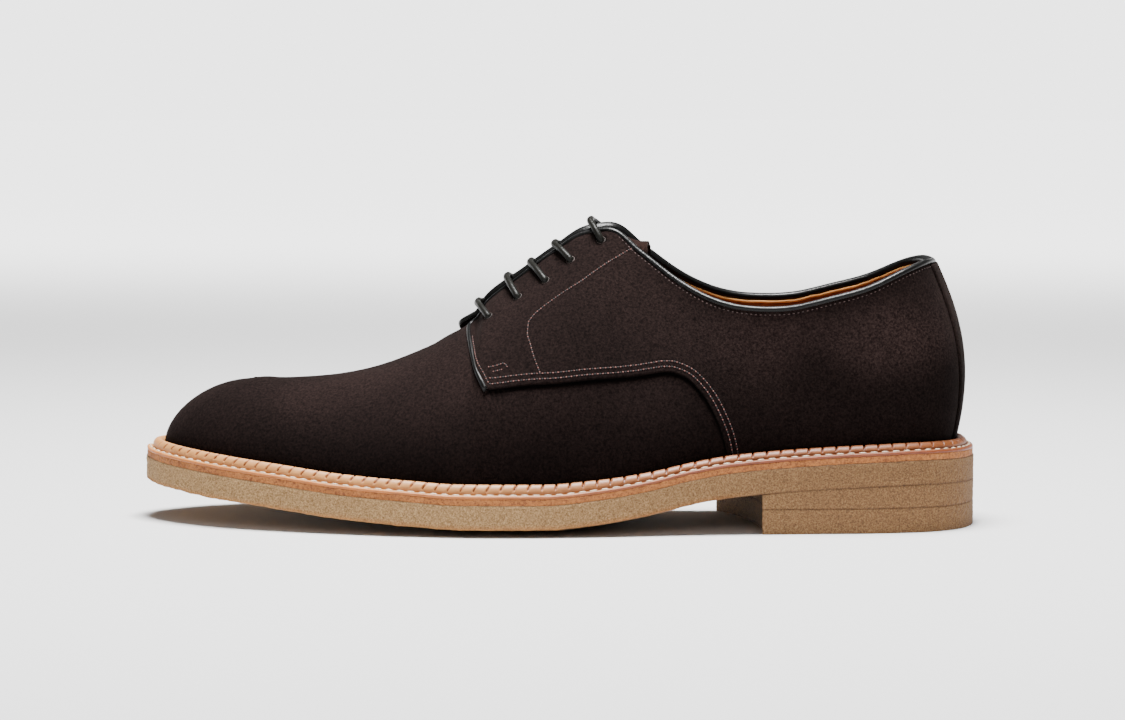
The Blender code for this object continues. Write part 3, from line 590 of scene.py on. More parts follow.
class Finish:
    """A material with its shader and short ways to add nodes. Scales are in patches per metre."""

    def __init__(self, name, colour, roughness, **sockets):
        self.material = bpy.data.materials.new(name)
        self.material.use_nodes = True
        self.tree = self.material.node_tree
        self.shader = self.tree.nodes["Principled BSDF"]
        self.shader.inputs["Base Color"].default_value = (*colour, 1.0)
        self.shader.inputs["Roughness"].default_value = roughness
        for socket, value in sockets.items():
            self.shader.inputs[socket.replace("_", " ")].default_value = value
        self.place = self.node("ShaderNodeTexCoord").outputs["Object"]
        self.height = None

    def node(self, kind, **values):
        node = self.tree.nodes.new(kind)
        for name, value in values.items():
            setattr(node, name, value)
        return node

    def link(self, source, target):
        self.tree.links.new(source, target)

    def mapped(self, vector, **values):
        """A vector moved, turned or scaled."""
        node = self.node("ShaderNodeMapping")
        for name, value in values.items():
            node.inputs[name].default_value = value
        self.link(vector, node.inputs["Vector"])
        return node.outputs["Vector"]

    def noise(self, scale, detail=3.0, roughness=0.55):
        node = self.node("ShaderNodeTexNoise")
        node.inputs["Scale"].default_value = scale
        node.inputs["Detail"].default_value = detail
        node.inputs["Roughness"].default_value = roughness
        self.link(self.place, node.inputs["Vector"])
        return node.outputs["Fac"]

    def cells(self, vector, scale):
        """Distance from the middle of small rounded cells."""
        node = self.node("ShaderNodeTexVoronoi", feature="SMOOTH_F1")
        node.inputs["Scale"].default_value = scale
        self.link(vector, node.inputs["Vector"])
        return node.outputs["Distance"]

    # Colour attribute of the mesh: real colour marks, and painted shade on the suede and in the bead's
    # notches
    def tint_and_shade(self):
        node = self.node("ShaderNodeAttribute", attribute_name="tint_and_shade")
        return node.outputs["Fac"]

    def spread(self, value, start, end, top=1.0):
        """0 up to start, top from end on, and smooth between them."""
        node = self.node("ShaderNodeMapRange", interpolation_type="SMOOTHSTEP")
        node.inputs["From Min"].default_value = start
        node.inputs["From Max"].default_value = end
        node.inputs["To Max"].default_value = top
        self.link(value, node.inputs["Value"])
        return node.outputs["Result"]

    def level(self, low, high, axis="Z"):
        """0 below one place along an axis of the shoe and 1 above another."""
        apart = self.node("ShaderNodeSeparateXYZ")
        self.link(self.place, apart.inputs["Vector"])
        return self.spread(apart.outputs[axis], low, high)

    def patch(self, x, z, length, height):
        """1 at a place seen from the side and 0 beyond its reach, soft between."""
        near = self.mapped(
            self.place, Scale=(1.0 / length, 0.0, 1.0 / height), Location=(-x / length, 0.0, -z / height)
        )
        far = self.node("ShaderNodeVectorMath", operation="LENGTH")
        self.link(near, far.inputs[0])
        return self.spread(far.outputs["Value"], 1.0, 0.2)

    def ramp(self, value, stops):
        """Colours along a value: stops are (position, (r, g, b))."""
        node = self.node("ShaderNodeValToRGB")
        elements = node.color_ramp.elements
        while len(elements) < len(stops):
            elements.new(0.5)
        for element, (position, colour) in zip(elements, stops):
            element.position = position
            element.color = (*colour, 1.0)
        self.link(value, node.inputs["Fac"])
        return node.outputs["Color"]

    def shaded(self, value, first, second, low=0.0, high=1.0):
        """From one colour to another as a value goes from low to high."""
        return self.ramp(value, [(low, first), (high, second)])

    def multiply(self, tone, *layers):
        """A tone darkened or lightened by each layer in turn."""
        for layer in layers:
            node = self.node("ShaderNodeMix", data_type="RGBA", blend_type="MULTIPLY")
            sockets = {socket.name: socket for socket in reversed(list(node.inputs)) if socket.enabled}
            sockets["Factor"].default_value = 1.0
            self.link(tone, sockets["A"])
            self.link(layer, sockets["B"])
            tone = [socket for socket in node.outputs if socket.enabled][0]
        return tone

    def colour(self, source):
        self.link(source, self.shader.inputs["Base Color"])

    def rough(self, value, low, high):
        node = self.node("ShaderNodeMapRange")
        node.inputs["To Min"].default_value = low
        node.inputs["To Max"].default_value = high
        self.link(value, node.inputs["Value"])
        self.link(node.outputs["Result"], self.shader.inputs["Roughness"])

    def bump(self, value, depth):
        """Relief of a depth in metres, on top of the relief so far."""
        node = self.node("ShaderNodeBump")
        node.inputs["Strength"].default_value = 1.0
        node.inputs["Distance"].default_value = depth
        self.link(value, node.inputs["Height"])
        if self.height:
            self.link(self.height, node.inputs["Normal"])
        self.height = node.outputs["Normal"]
        self.link(self.height, self.shader.inputs["Normal"])

# %% [markdown]
# ### Suede
# Suede is leather with its flesh side buffed into a short nap. It has no gloss, a faint pale bloom at
# grazing angles, and its fibres clump into tiny dark and light specks. Sheen gives the bloom, fine noise
# the specks, wide noise the unevenness of the dye, and a short table broad patches of painted light and
# shade. The colour is also painted darker towards the welt and along the quarter's edge, as shade.

# %% Suede
# Patches of painted light and shade: X, Z, length, height, gain in lightness
LIGHT_AND_SHADE_PATCHES = (
    (-0.009, 0.069, 0.030, 0.020, 2.25),
    (-0.034, 0.052, 0.010, 0.014, 0.70),
    (0.036, 0.072, 0.036, 0.022, 1.60),
    (-0.034, 0.078, 0.012, 0.018, 1.35),
)
NAP = 0.00014
CLUMPS = 0.00008


def suede(name, dark, light):
    bloom = {"Sheen_Weight": 0.012, "Sheen_Roughness": 0.4, "Sheen_Tint": (0.60, 0.42, 0.36, 1.0)}
    finish = Finish(name, light, 0.95, Specular_IOR_Level=0.03, **bloom)
    specks = finish.noise(1150.0, 5.0, 0.8)
    layers = [
        finish.shaded(finish.noise(26.0, 2.0, 0.5), (0.80, 0.80, 0.80), (1.18, 1.16, 1.15), 0.35, 0.68),
        # Painted shade: the suede darker towards the welt
        finish.shaded(finish.level(0.022, 0.056), (0.55, 0.52, 0.52), WHITE),
        # Painted shade where the colour attribute marks it: on the quarter's cut edge and on the vamp under
        # it
        finish.shaded(finish.tint_and_shade(), WHITE, (0.05, 0.05, 0.05)),
    ]
    # Patches of painted light, and one of painted shade
    for x, z, length, height, gain in LIGHT_AND_SHADE_PATCHES:
        layers.append(finish.shaded(finish.patch(x, z, length, height), WHITE, (gain,) * 3))
    finish.colour(finish.multiply(finish.shaded(specks, dark, light, 0.38, 0.62), *layers))
    finish.bump(finish.noise(520.0, 3.0, 0.6), CLUMPS)
    finish.bump(specks, NAP)
    return finish.material


SUEDE = suede("suede", (0.0025, 0.0015, 0.0014), (0.0139, 0.0087, 0.0078))
SUEDE_TONGUE = suede("suede_tongue", (0.0032, 0.0017, 0.0014), (0.0160, 0.0084, 0.0068))
print("suede ready")

# %% [markdown]
# ### Grained leather, lining, cord and thread
# The topline is bound with black grained leather that has a half gloss, so its pebbles catch the
# light. The lining is smooth vegetable-tanned leather, browner below and raw and pale along its cut
# edge. The lace is a round waxed cord whose braid barely shows.

# %% Leathers, cord and thread
GRAIN_DEPTH = 0.00007
BRAID_DEPTH = 0.00012
SMOOTH_DEPTH = 0.00008


def grain_leather():
    finish = Finish("grain_leather", (0.0025, 0.0025, 0.0024), 0.30, Specular_IOR_Level=0.20)
    finish.bump(finish.cells(finish.place, 1700.0), GRAIN_DEPTH)
    finish.rough(finish.noise(500.0), 0.26, 0.44)
    return finish.material


def lining_leather(name, dark, light, roughness):
    finish = Finish(name, light, roughness, Specular_IOR_Level=0.2)
    finish.colour(finish.shaded(finish.noise(90.0, 4.0, 0.6), dark, light, 0.3, 0.7))
    finish.bump(finish.noise(900.0), SMOOTH_DEPTH)
    return finish.material


def waxed_cord():
    """Round cord whose braid slants across the map that runs along it."""
    finish = Finish("waxed_cord", (0.0060, 0.0058, 0.0046), 0.42, Specular_IOR_Level=0.12)
    along_cord = finish.node("ShaderNodeUVMap", uv_map="distance").outputs["UV"]
    slanted = finish.mapped(along_cord, Scale=(170.0, 6.0, 1.0), Rotation=(0.0, 0.0, 0.6))
    finish.bump(finish.cells(slanted, 1.0), BRAID_DEPTH)
    return finish.material


def thread(name, light, dark):
    finish = Finish(name, light, 0.7)
    finish.colour(finish.shaded(finish.noise(2500.0, 2.0), dark, light, 0.35, 0.65))
    return finish.material


GRAIN = grain_leather()
LINING = lining_leather("lining_leather", (0.13, 0.030, 0.004), (0.25, 0.065, 0.010), 0.55)
LINING_EDGE = lining_leather("lining_edge", (0.40, 0.16, 0.04), (0.66, 0.31, 0.10), 0.85)
CORD = waxed_cord()
THREAD = thread("upper_thread", (0.22, 0.088, 0.072), (0.08, 0.028, 0.022))
COLLAR_THREAD = thread("collar_thread", (0.07, 0.035, 0.03), (0.02, 0.010, 0.009))
WELT_THREAD = thread("welt_thread", (0.72, 0.63, 0.50), (0.45, 0.34, 0.22))
# Near-black marks in the needle holes: painted shade
HOLE_SHADE = thread("needle_hole_shade", (0.002, 0.0015, 0.0014), (0.001, 0.001, 0.001))
# Light lips round the lace holes: a painted highlight
EYELET_RIM_HIGHLIGHT = thread("eyelet_rim_highlight", (0.075, 0.052, 0.045), (0.015, 0.010, 0.009))
print("leathers ready")

# %% [markdown]
# ### Welt, midsole and crepe
# The welt is pale natural leather, the midsole's cut edge is rough and orange, with dark specks. Crepe
# is raw rubber: matt, with a pebbled face of beige and grey crumbs and an orange tone along its edges.

# %% Sole finishes
CRUMB_DEPTH = 0.00035
CUT_DEPTH = 0.00022
ORANGE_TINT = 0.35
PLAIN_TINT = 0.5


def welt_leather():
    """Pale leather, orange at its cut edge, with painted shade in a notch and painted shade towards the waist
    and heel.
    """
    finish = Finish("welt_leather", (0.62, 0.36, 0.16), 0.5)
    cloud = finish.shaded(finish.noise(160.0, 5.0, 0.7), (0.34, 0.142, 0.038), (0.47, 0.218, 0.068), 0.3, 0.7)
    # Plain, the orange of the cut edge, and painted shade in a notch
    stops = [(0.0, WHITE), (ORANGE_TINT, (0.90, 0.62, 0.34)), (1.0, (0.10, 0.04, 0.015))]
    # Painted shade: darker towards the waist and heel
    overhang_shade = finish.shaded(finish.level(0.05, 0.17, "X"), (0.44, 0.27, 0.14), WHITE)
    finish.colour(finish.multiply(cloud, finish.ramp(finish.tint_and_shade(), stops), overhang_shade))
    finish.bump(finish.noise(700.0), SMOOTH_DEPTH)
    return finish.material


def edge_leather():
    finish = Finish("edge_leather", (0.50, 0.22, 0.07), 0.75)
    fibres = finish.shaded(
        finish.noise(1100.0, 5.0, 0.8), (0.16, 0.042, 0.008), (0.42, 0.152, 0.034), 0.38, 0.56
    )
    broad = finish.shaded(finish.noise(130.0), (0.80, 0.74, 0.66), WHITE, 0.35, 0.65)
    finish.colour(finish.multiply(fibres, broad))
    finish.bump(finish.noise(1300.0, 4.0, 0.7), CUT_DEPTH)
    return finish.material


def crepe_rubber():
    """Raw rubber, orange along the sole's lower edge and dark in a seam, with painted shade towards the waist
    and heel.
    """
    finish = Finish("crepe", (0.44, 0.30, 0.16), 0.85)
    crumbs = [(0.34, (0.12, 0.060, 0.019)), (0.50, (0.27, 0.160, 0.066)), (0.66, (0.43, 0.28, 0.13))]
    base = finish.ramp(finish.noise(1700.0, 3.0, 0.8), crumbs)
    stops = [(0.0, (1.0, 0.72, 0.42)), (PLAIN_TINT, WHITE), (1.0, (0.62, 0.56, 0.50))]
    # Painted shade: darker towards the waist and heel
    back = finish.shaded(finish.level(0.00, 0.15, "X"), (0.60, 0.50, 0.42), (1.0, 0.98, 0.95))
    finish.colour(finish.multiply(base, finish.ramp(finish.tint_and_shade(), stops), back))
    finish.bump(finish.noise(800.0, 4.0, 0.75), CRUMB_DEPTH)
    return finish.material


WELT_LEATHER = welt_leather()
EDGE_LEATHER = edge_leather()
CREPE = crepe_rubber()
print("sole finishes ready")

# %% [markdown]
# ## The quarter's edge
# The quarters lie over the vamp. Seen from the side, their edge leaves the welt behind the waist,
# climbs in an arc, runs forward almost level and turns up along the facing. We find that line on the
# last once, and the panel, its binding and its stitch rows all follow it.

# %% Edge of the quarter in places and steps
EDGE_SAMPLES = 120
FRONT_SAMPLES = 40
FORWARD = 0.0048
FORWARD_DROP = 0.4
CORNER_ROUND = 0.0035
SIDES = ("lateral", "medial")


@functools.lru_cache(maxsize=None)
def edge_line(side="lateral"):
    """Points of the edge seen from the side, from the welt to the top of the facing's front."""
    ahead = 0.0 if side == "lateral" else FORWARD
    lower = columns(EDGE_COLUMNS, QUARTER_EDGE)
    front = columns(EDGE_COLUMNS, FACING_EDGE)
    line = []
    for rows, count in ((lower, EDGE_SAMPLES), (front, FRONT_SAMPLES)):
        knots = list(range(len(rows["along"])))
        for i in range(count + 1):
            at = i / count * knots[-1]
            share = curve(knots, rows["along"], at)
            x = along(share)
            z = welt_top(x) + curve(knots, rows["rise"], at) * INSTEP_RISE
            shift = ahead * blend(0.44, 0.56, share)
            line.append((x + shift, z - FORWARD_DROP * shift))
    return line


def facing_step(place):
    """Step where the facing's inner edge crosses a rib: 1 beside the slit, less in front of it."""
    side = 1.0 if place % 2.0 <= 1.0 else -1.0
    low, high = 0.5, 1.0
    if surface(place, 1.0).y * side >= FACING_GAP / 2.0 * 0.97:
        return 1.0
    for _ in range(26):
        middle = (low + high) / 2.0
        if surface(place, middle).y * side > FACING_GAP / 2.0:
            low = middle
        else:
            high = middle
    return high


def rounded(path, corner, radius):
    """Path of (place, step) pairs with the corner at an index cut round."""
    spots = [surface(*pair) for pair in path]
    before = corner
    while before > 0 and (spots[before] - spots[corner]).length < radius:
        before -= 1
    after = corner
    while after < len(path) - 1 and (spots[after] - spots[corner]).length < radius:
        after += 1
    a, c, b = path[before], path[corner], path[after]
    arc = []
    for i in range(9):
        t = i / 8.0
        weights = ((1 - t) ** 2, 2 * t * (1 - t), t * t)
        arc.append(tuple(weights[0] * a[k] + weights[1] * c[k] + weights[2] * b[k] for k in (0, 1)))
    return path[:before] + arc + path[after + 1 :]


@functools.lru_cache(maxsize=None)
def front_path(side):
    """The facing's edge from the slit to the front corner, then down and back to the welt."""
    rising = []
    for place, step in (spot(x, z, side) for x, z in edge_line(side)):
        if step < facing_step(place) - 1e-3:
            rising.append((place, step))
    last = rising[-1][0]
    start = turn(THROAT) if side == "lateral" else 2.0 - turn(THROAT)
    facing = []
    for i in range(25):
        place = start + (last - start) * i / 24.0
        facing.append((place, facing_step(place)))
    return rounded(facing + list(reversed(rising)), len(facing) - 1, CORNER_ROUND)


FRONT = {side: front_path(side) for side in SIDES}
print("front of the facing at", tuple(surface(*FRONT["lateral"][28])))

# %% Upper and lower edge of each quarter
def branches(side):
    """Upper and lower edge of the panel as lists of (place from the heel, step)."""
    path = FRONT[side]
    local = [(place if side == "lateral" else 2.0 - place, step) for place, step in path]
    peak = max(range(len(local)), key=lambda i: local[i][0])
    return local[: peak + 1], list(reversed(local[peak:]))


def step_on(line, place):
    """Step of a rising line of (place, step) at a place."""
    for (a, low), (b, high) in zip(line, line[1:]):
        if a <= place <= b and b > a:
            return low + (high - low) * (place - a) / (b - a)
    return line[0][1] if place < line[0][0] else line[-1][1]


UPPER, LOWER = {}, {}
for side in SIDES:
    UPPER[side], LOWER[side] = branches(side)
print("panel edges of", len(UPPER["lateral"]), "and", len(LOWER["lateral"]), "points")

# %% [markdown]
# ## Soft troughs
# A shoe that has been on a last but not worn has only faint hollows: one behind the toe, one where
# the vamp will bend, and slight waves over the quarter. They are placed as soft bumps on the
# form, in millimetres of depth and width.

# %% Troughs and ridges
# X, Z, length, height, depth and turn in degrees of each one
TROUGHS = (
    (0.178, 0.040, 0.010, 0.016, -0.00045, 20.0),
    (0.160, 0.046, 0.007, 0.018, 0.00025, 25.0),
    (0.205, 0.036, 0.012, 0.014, -0.00025, 10.0),
    (0.086, 0.075, 0.006, 0.020, -0.00035, -15.0),
    (0.066, 0.066, 0.007, 0.018, 0.00030, -10.0),
    (0.030, 0.060, 0.008, 0.017, -0.00040, 8.0),
    (0.002, 0.063, 0.010, 0.016, 0.00030, 12.0),
    (-0.018, 0.060, 0.006, 0.018, -0.00035, 5.0),
)
FLARE = 0.0024
FLARE_CENTRE = 0.146
FLARE_LENGTH = 0.022


def trough(point):
    """Height of the troughs and ridges at a point of the upper."""
    total = 0.0
    for x, z, length, height, depth, angle in TROUGHS:
        turned = math.radians(angle)
        dx, dz = point.x - x, point.z - z
        a = (dx * math.cos(turned) + dz * math.sin(turned)) / length
        b = (dz * math.cos(turned) - dx * math.sin(turned)) / height
        total += depth * math.exp(-a * a - b * b)
    return total


def flare(place, step):
    """How far the inner facing's front corner stands up under the pull of the lace."""
    if place % 2.0 <= 1.0:
        return 0.0
    ahead = (surface(place, step).x - FLARE_CENTRE) / FLARE_LENGTH
    return FLARE * math.exp(-ahead * ahead) * blend(0.72, 0.95, step)


def skin(place, step, height):
    """Point of a panel at a height above the last, with the troughs added."""
    height += trough(surface(place, step))
    if height > QUARTER_STEP * 0.5:
        height += flare(place, step)
    return lifted(place, step, height)


print("deepest trough", min(row[4] for row in TROUGHS))

# %% [markdown]
# ## The vamp
# The vamp is one piece of suede that wraps the toe and runs back under the quarters. A grid suits it:
# one column for each rib, from the inner side round the toe to the outer side. The two halves of its
# top row meet on the ridge, where merging the doubles closes them.

# %% Vamp
VAMP_BACK = 0.262
VAMP_UNDERLAP = 0.10
VAMP_COLUMNS = 330
VAMP_ROWS = 120
VAMP_WALL = 0.0009
SHADOW_END = 0.568
SHADOW = 0.92


def vamp_top(place):
    side, local = side_of(place)
    if share_of(local) >= THROAT:
        return 1.0
    reach = step_on(LOWER[side], local) + VAMP_UNDERLAP
    return reach + (1.0 - reach) * blend(THROAT - 0.035, THROAT, share_of(local))


def make_vamp():
    back = turn(VAMP_BACK)
    places = [back + (2.0 - 2.0 * back) * i / (VAMP_COLUMNS - 1) for i in range(VAMP_COLUMNS)]
    tops = [min(vamp_top(place), 1.0) for place in places]

    def step_at(i, j):
        return tops[i] * j / (VAMP_ROWS - 1)

    def point(i, j):
        return skin(places[i], step_at(i, j), 0.0)

    def shade(i, j):
        """Painted shadow under the quarter's edge and just below it."""
        side, local = side_of(places[i])
        if share_of(local) >= SHADOW_END:
            return 0.0
        below = (step_on(LOWER[side], local) - step_at(i, j)) * rib_height(places[i])
        return SHADOW * (1.0 - blend(0.0004, 0.0020, below))

    piece = sheet("vamp", VAMP_COLUMNS, VAMP_ROWS, point, SUEDE, inside=core, shade=shade)
    return thicken(piece, VAMP_WALL)


vamp = stands_for(make_vamp(), "suede", "upper")

# %% [markdown]
# ## The quarters
# Both quarters are cut as one panel here, joined at the heel under the back strip. Each column of the
# grid runs up one rib, from the panel's lower edge to the top line, so the edges stay exact. The lowest
# rows roll over by a fraction of a millimetre: a cut edge of suede is never quite square.

# %% Quarters
QUARTER_ROWS = 62
QUARTER_WALL = QUARTER_STEP + 0.0006
REAR_COLUMNS = 190
FORE_COLUMNS = 60
FORE_START = 0.5640
ROLL = 0.0007
ROLL_DEPTH = 0.00045
ROLL_ROWS = 12


def quarter_places(side):
    """Places of the panel's columns on one side, from the heel to its front."""
    front = UPPER[side][-1][0]
    start = turn(FORE_START)
    rear = [start * i / REAR_COLUMNS for i in range(REAR_COLUMNS)]
    quarter_turn = math.pi / 2.0 / FORE_COLUMNS
    return rear + [start + (front - start) * math.sin(quarter_turn * i) for i in range(FORE_COLUMNS + 1)]


def row_share(j):
    """Share of the way up the panel for a row, with the rows a little closer at its edges."""
    even = j / (QUARTER_ROWS - 1)
    return blend(0.0, 1.0, even) * 0.35 + 0.65 * even


def make_quarters():
    spots = [("medial", -place) for place in reversed(quarter_places("medial")[1:])]
    spots += [("lateral", place) for place in quarter_places("lateral")]
    ends = []
    for side, place in spots:
        local = abs(place)
        low = step_on(LOWER[side], local) if local >= LOWER[side][0][0] else 0.0
        high = step_on(UPPER[side], local) if local >= UPPER[side][0][0] else 1.0
        ends.append((low, max(high, low)))

    def roll_and_shade(i, j):
        """1 at the panel's cut lower edge, falling to 0 within the roll. It rolls the edge down and marks
        painted shade on the suede there.
        """
        low, high = ends[i]
        if low <= 0.0 or j > ROLL_ROWS:
            return 0.0
        distance = (high - low) * row_share(j) * rib_height(spots[i][1]) * 1.1
        return max(1.0 - distance / ROLL, 0.0) ** 2

    def point(i, j):
        low, high = ends[i]
        step = low + (high - low) * row_share(j)
        return skin(spots[i][1], step, QUARTER_STEP - roll_and_shade(i, j) * ROLL_DEPTH)

    # The rolled cut edge is darkened with painted shade
    piece = sheet("quarters", len(spots), QUARTER_ROWS, point, SUEDE, inside=core, shade=roll_and_shade)
    return thicken(piece, QUARTER_WALL)


quarters = stands_for(make_quarters(), "suede", "upper")

# %% [markdown]
# ## Lining, tongue and back strip
# The lining is a second skin inside the wall. Its raw edge shows as a pale line under the binding on
# the far side. The tongue lies under the facings and arches across the gap between them, and the back
# strip covers the seam at the heel.

# %% Lining
LINING_DEPTH = 0.0010
LINING_TOP = 0.985
LINING_COLUMNS = 300
LINING_ROWS = 41
RAW_EDGE_COLUMNS = 260
RAW_EDGE_DROP = 0.0017
RAW_EDGE = ((0.3, -0.5), (-0.2, -0.5), (-0.3, 0.0), (-0.2, 0.5), (0.3, 0.5))


def make_lining():
    places = all_round(LINING_COLUMNS)

    def point(i, j):
        return lifted(places[i], LINING_TOP * j / (LINING_ROWS - 1), -LINING_DEPTH)

    piece = sheet("lining", LINING_COLUMNS, LINING_ROWS, point, LINING, inside=core)
    return thicken(piece, WALL - LINING_DEPTH)


def make_lining_edge():
    """Pale raw edge along the inside of the collar."""
    reach = turn(0.44)
    path, frames = [], []
    for i in range(RAW_EDGE_COLUMNS):
        place = -reach + 2.0 * reach * i / (RAW_EDGE_COLUMNS - 1)
        out = normal(place, 0.975)
        up = (surface(place, 0.985) - surface(place, 0.965)).normalized()
        wobble = noise.noise(Vector((place * 60.0, 0.0, 3.0))) * 0.0003
        path.append(surface(place, 1.0) - out * (WALL + 0.0003) + up * (wobble - RAW_EDGE_DROP))
        frames.append((out, up))
    shape = millimetres(RAW_EDGE)
    return sweep("lining_edge", path, frames, lambda i: shape, LINING_EDGE)


lining = stands_for(make_lining(), "lining_leather")
lining_edge = stands_for(make_lining_edge(), "lining_leather")

# %% Tongue
TONGUE_TOP = 0.394
TONGUE_LIFT = 0.0046
TONGUE_FOOT = 0.600
TONGUE_SIDE = 0.70
TONGUE_WALL = 0.0016
TONGUE_COLUMNS = 90
TONGUE_ROWS = 41
ARCH_SHARE = 0.264
ARCH_RISE = 0.0009


def make_tongue():
    """Sheet under both facings: its middle arches across the slit between them."""
    depth = -(WALL + 2.0 * GAP)
    first, last = turn(TONGUE_TOP), turn(TONGUE_FOOT)
    places = [first + (last - first) * i / (TONGUE_COLUMNS - 1) for i in range(TONGUE_COLUMNS)]

    def point(i, j):
        place = places[i]
        step = facing_step(place)
        cut_corner = 1.0 - 0.25 * max(1.0 - i / 6.0, 0.0) ** 2
        across = (j / (TONGUE_ROWS - 1) * 2.0 - 1.0) * cut_corner
        lift = TONGUE_LIFT * max(1.0 - i / 14.0, 0.0) ** 1.5
        if abs(across) > ARCH_SHARE:
            part = (abs(across) - ARCH_SHARE) / (1.0 - ARCH_SHARE)
            step -= (step - TONGUE_SIDE) * part
            here = lifted(place if across > 0.0 else 2.0 - place, step, depth)
            return here + Vector((0.0, 0.0, lift * max(1.0 - part * 1.6, 0.0)))
        a = lifted(place, step, depth)
        b = lifted(2.0 - place, step, depth)
        t = 0.5 - across / ARCH_SHARE / 2.0
        arch = ARCH_RISE * 4.0 * t * (1.0 - t) * (a - b).length / FACING_GAP
        return a.lerp(b, t) + Vector((0.0, 0.0, arch + lift))

    piece = sheet("tongue", TONGUE_COLUMNS, TONGUE_ROWS, point, SUEDE_TONGUE, inside=core)
    return thicken(piece, TONGUE_WALL)


tongue = stands_for(make_tongue(), "suede", "tongue")

# %% Back strip
STRIP_HALF = 0.0105
STRIP_ROWS = 60
STRIP_COLUMNS = 17


def make_back_strip():
    def point(i, j):
        step = 0.012 + 0.975 * i / (STRIP_ROWS - 1)
        girth = (surface(0.05, step) - surface(0.0, step)).length / 0.05
        part = j / (STRIP_COLUMNS - 1) * 2.0 - 1.0
        roll = max(abs(part) - 0.93, 0.0) / 0.07
        return skin(part * STRIP_HALF / girth, step, QUARTER_STEP + 0.0008 - 0.0004 * roll**2)

    piece = sheet("back_strip", STRIP_ROWS, STRIP_COLUMNS, point, SUEDE, inside=core)
    return thicken(piece, 0.0008)


back_strip = stands_for(make_back_strip(), "suede", "back_strip")

# %% [markdown]
# ## The binding
# A narrow strip of grained leather is folded over the raw edge, all round the collar, down the facings
# and along their fronts. It is a sweep of a rounded hook. On the collar the hook holds the whole wall,
# and on the front edge, where the vamp lies below, only the quarter's own thickness.

# %% Binding
# Sections in millimetres: out of the leather, and up past its edge
COLLAR_HOOK = (
    (1.12, -0.62), (1.45, -0.55), (1.66, -0.20), (1.68, 0.35), (1.45, 0.90), (0.85, 1.28), (-0.35, 1.42),
    (-1.40, 1.30), (-1.95, 0.95), (-2.15, 0.45), (-2.17, -0.40), (-2.05, -0.92), (-1.82, -1.00),
    (-1.82, 0.04), (1.12, 0.04),
)
FRONT_HOOK = (
    (1.12, -0.95), (1.42, -0.88), (1.66, -0.45), (1.68, 0.00), (1.52, 0.35), (1.20, 0.60), (0.80, 0.70),
    (0.50, 0.70), (0.25, 0.68), (0.08, 0.60), (0.05, 0.45), (0.05, 0.30), (0.05, 0.15), (0.05, 0.04),
    (1.12, 0.04),
)
COLLAR_POINTS = 420
BINDING_STEP = 0.00045


def binding_path():
    """Places and steps of the bound edge, from the inner facing's corner to the outer one's."""
    fronts = {side: FRONT[side][: len(FRONT[side]) - EDGE_SAMPLES] for side in SIDES}
    start = turn(THROAT)
    collar = [(-start + 2.0 * start * i / COLLAR_POINTS, 1.0) for i in range(1, COLLAR_POINTS)]
    medial = [(place - 2.0, step) for place, step in fronts["medial"]]
    return list(reversed(medial)) + collar + fronts["lateral"]


def smoothed(spots):
    """Each point drawn halfway to the middle of its neighbours, with the ends kept."""
    middle = [spots[i] * 0.5 + (spots[i - 1] + spots[i + 1]) * 0.25 for i in range(1, len(spots) - 1)]
    return [spots[0]] + middle + [spots[-1]]


def make_binding():
    pairs, spots = [], []
    for pair in binding_path():
        here = lifted(*pair, flare(*pair))
        if not spots or (here - spots[-1]).length > BINDING_STEP:
            pairs.append(pair)
            spots.append(here)
    for _ in range(3):
        spots = smoothed(spots)
    frames, fronts = [], []
    for i, (place, step) in enumerate(pairs):
        run = (spots[min(i + 1, len(spots) - 1)] - spots[max(i - 1, 0)]).normalized()
        out = normal(place, min(step, 0.99))
        frames.append((out, out.cross(run).normalized()))
        fronts.append(blend(along(0.570), along(0.592), spots[i].x))
    if frames[len(frames) // 2][1].z < 0.0:
        frames = [(out, -up) for out, up in frames]

    def section(i):
        hooks = zip(COLLAR_HOOK, FRONT_HOOK)
        rest = 1 - fronts[i]
        mixed = [(a[0] * rest + b[0] * fronts[i], a[1] * rest + b[1] * fronts[i]) for a, b in hooks]
        return millimetres(mixed)

    return sweep("binding", spots, frames, section, GRAIN)


binding = stands_for(make_binding(), "grain_leather", "binding")

# %% [markdown]
# ## The lace
# A round waxed cord is laced in straight bars. It runs out through an eyelet, across the gap and in
# through the eyelet opposite, then up inside to the next pair. One smooth curve through listed
# points follows that route, and a round section swept along it is the cord. Its ends stay inside.

# %% Lace
HOLES = [spot(x, z) for x, z in EYELETS]
# X and Z of the highest point of each bar, from the top one down
LACE_TOPS = (
    (0.0972, 0.1125),
    (0.1104, 0.1039),
    (0.1193, 0.0971),
    (0.1280, 0.0917),
    (0.1388, 0.0822),
)
LACE_SIDES = 14
INSIDE_RUN = WALL + 0.0042
INSIDE_END = WALL + 0.0018


def bar_points(place, step, top):
    """Points of one bar, from inside the outer side's eyelet to inside the inner side's."""
    halves = []
    crest = Vector((top[0], 0.0, top[1] - LACE / 2.0))
    for side, here in ((1.0, place), (-1.0, 2.0 - place)):
        out = normal(here, step)
        hole = surface(here, step)
        rim = hole + out * (QUARTER_STEP + LACE * 0.18)
        shoulder = Vector((crest.x, side * FACING_GAP * 0.40, crest.z - 0.0005))
        middle = hole.lerp(shoulder, 0.55) + out * (QUARTER_STEP + LACE * 0.36)
        bend = rim.lerp(middle, 0.5) + out * 0.0005
        halves.append([hole - out * INSIDE_END, hole - out * 0.0003, rim, bend, middle, shoulder])
    outer, inner = halves
    return outer + [crest] + list(reversed(inner))


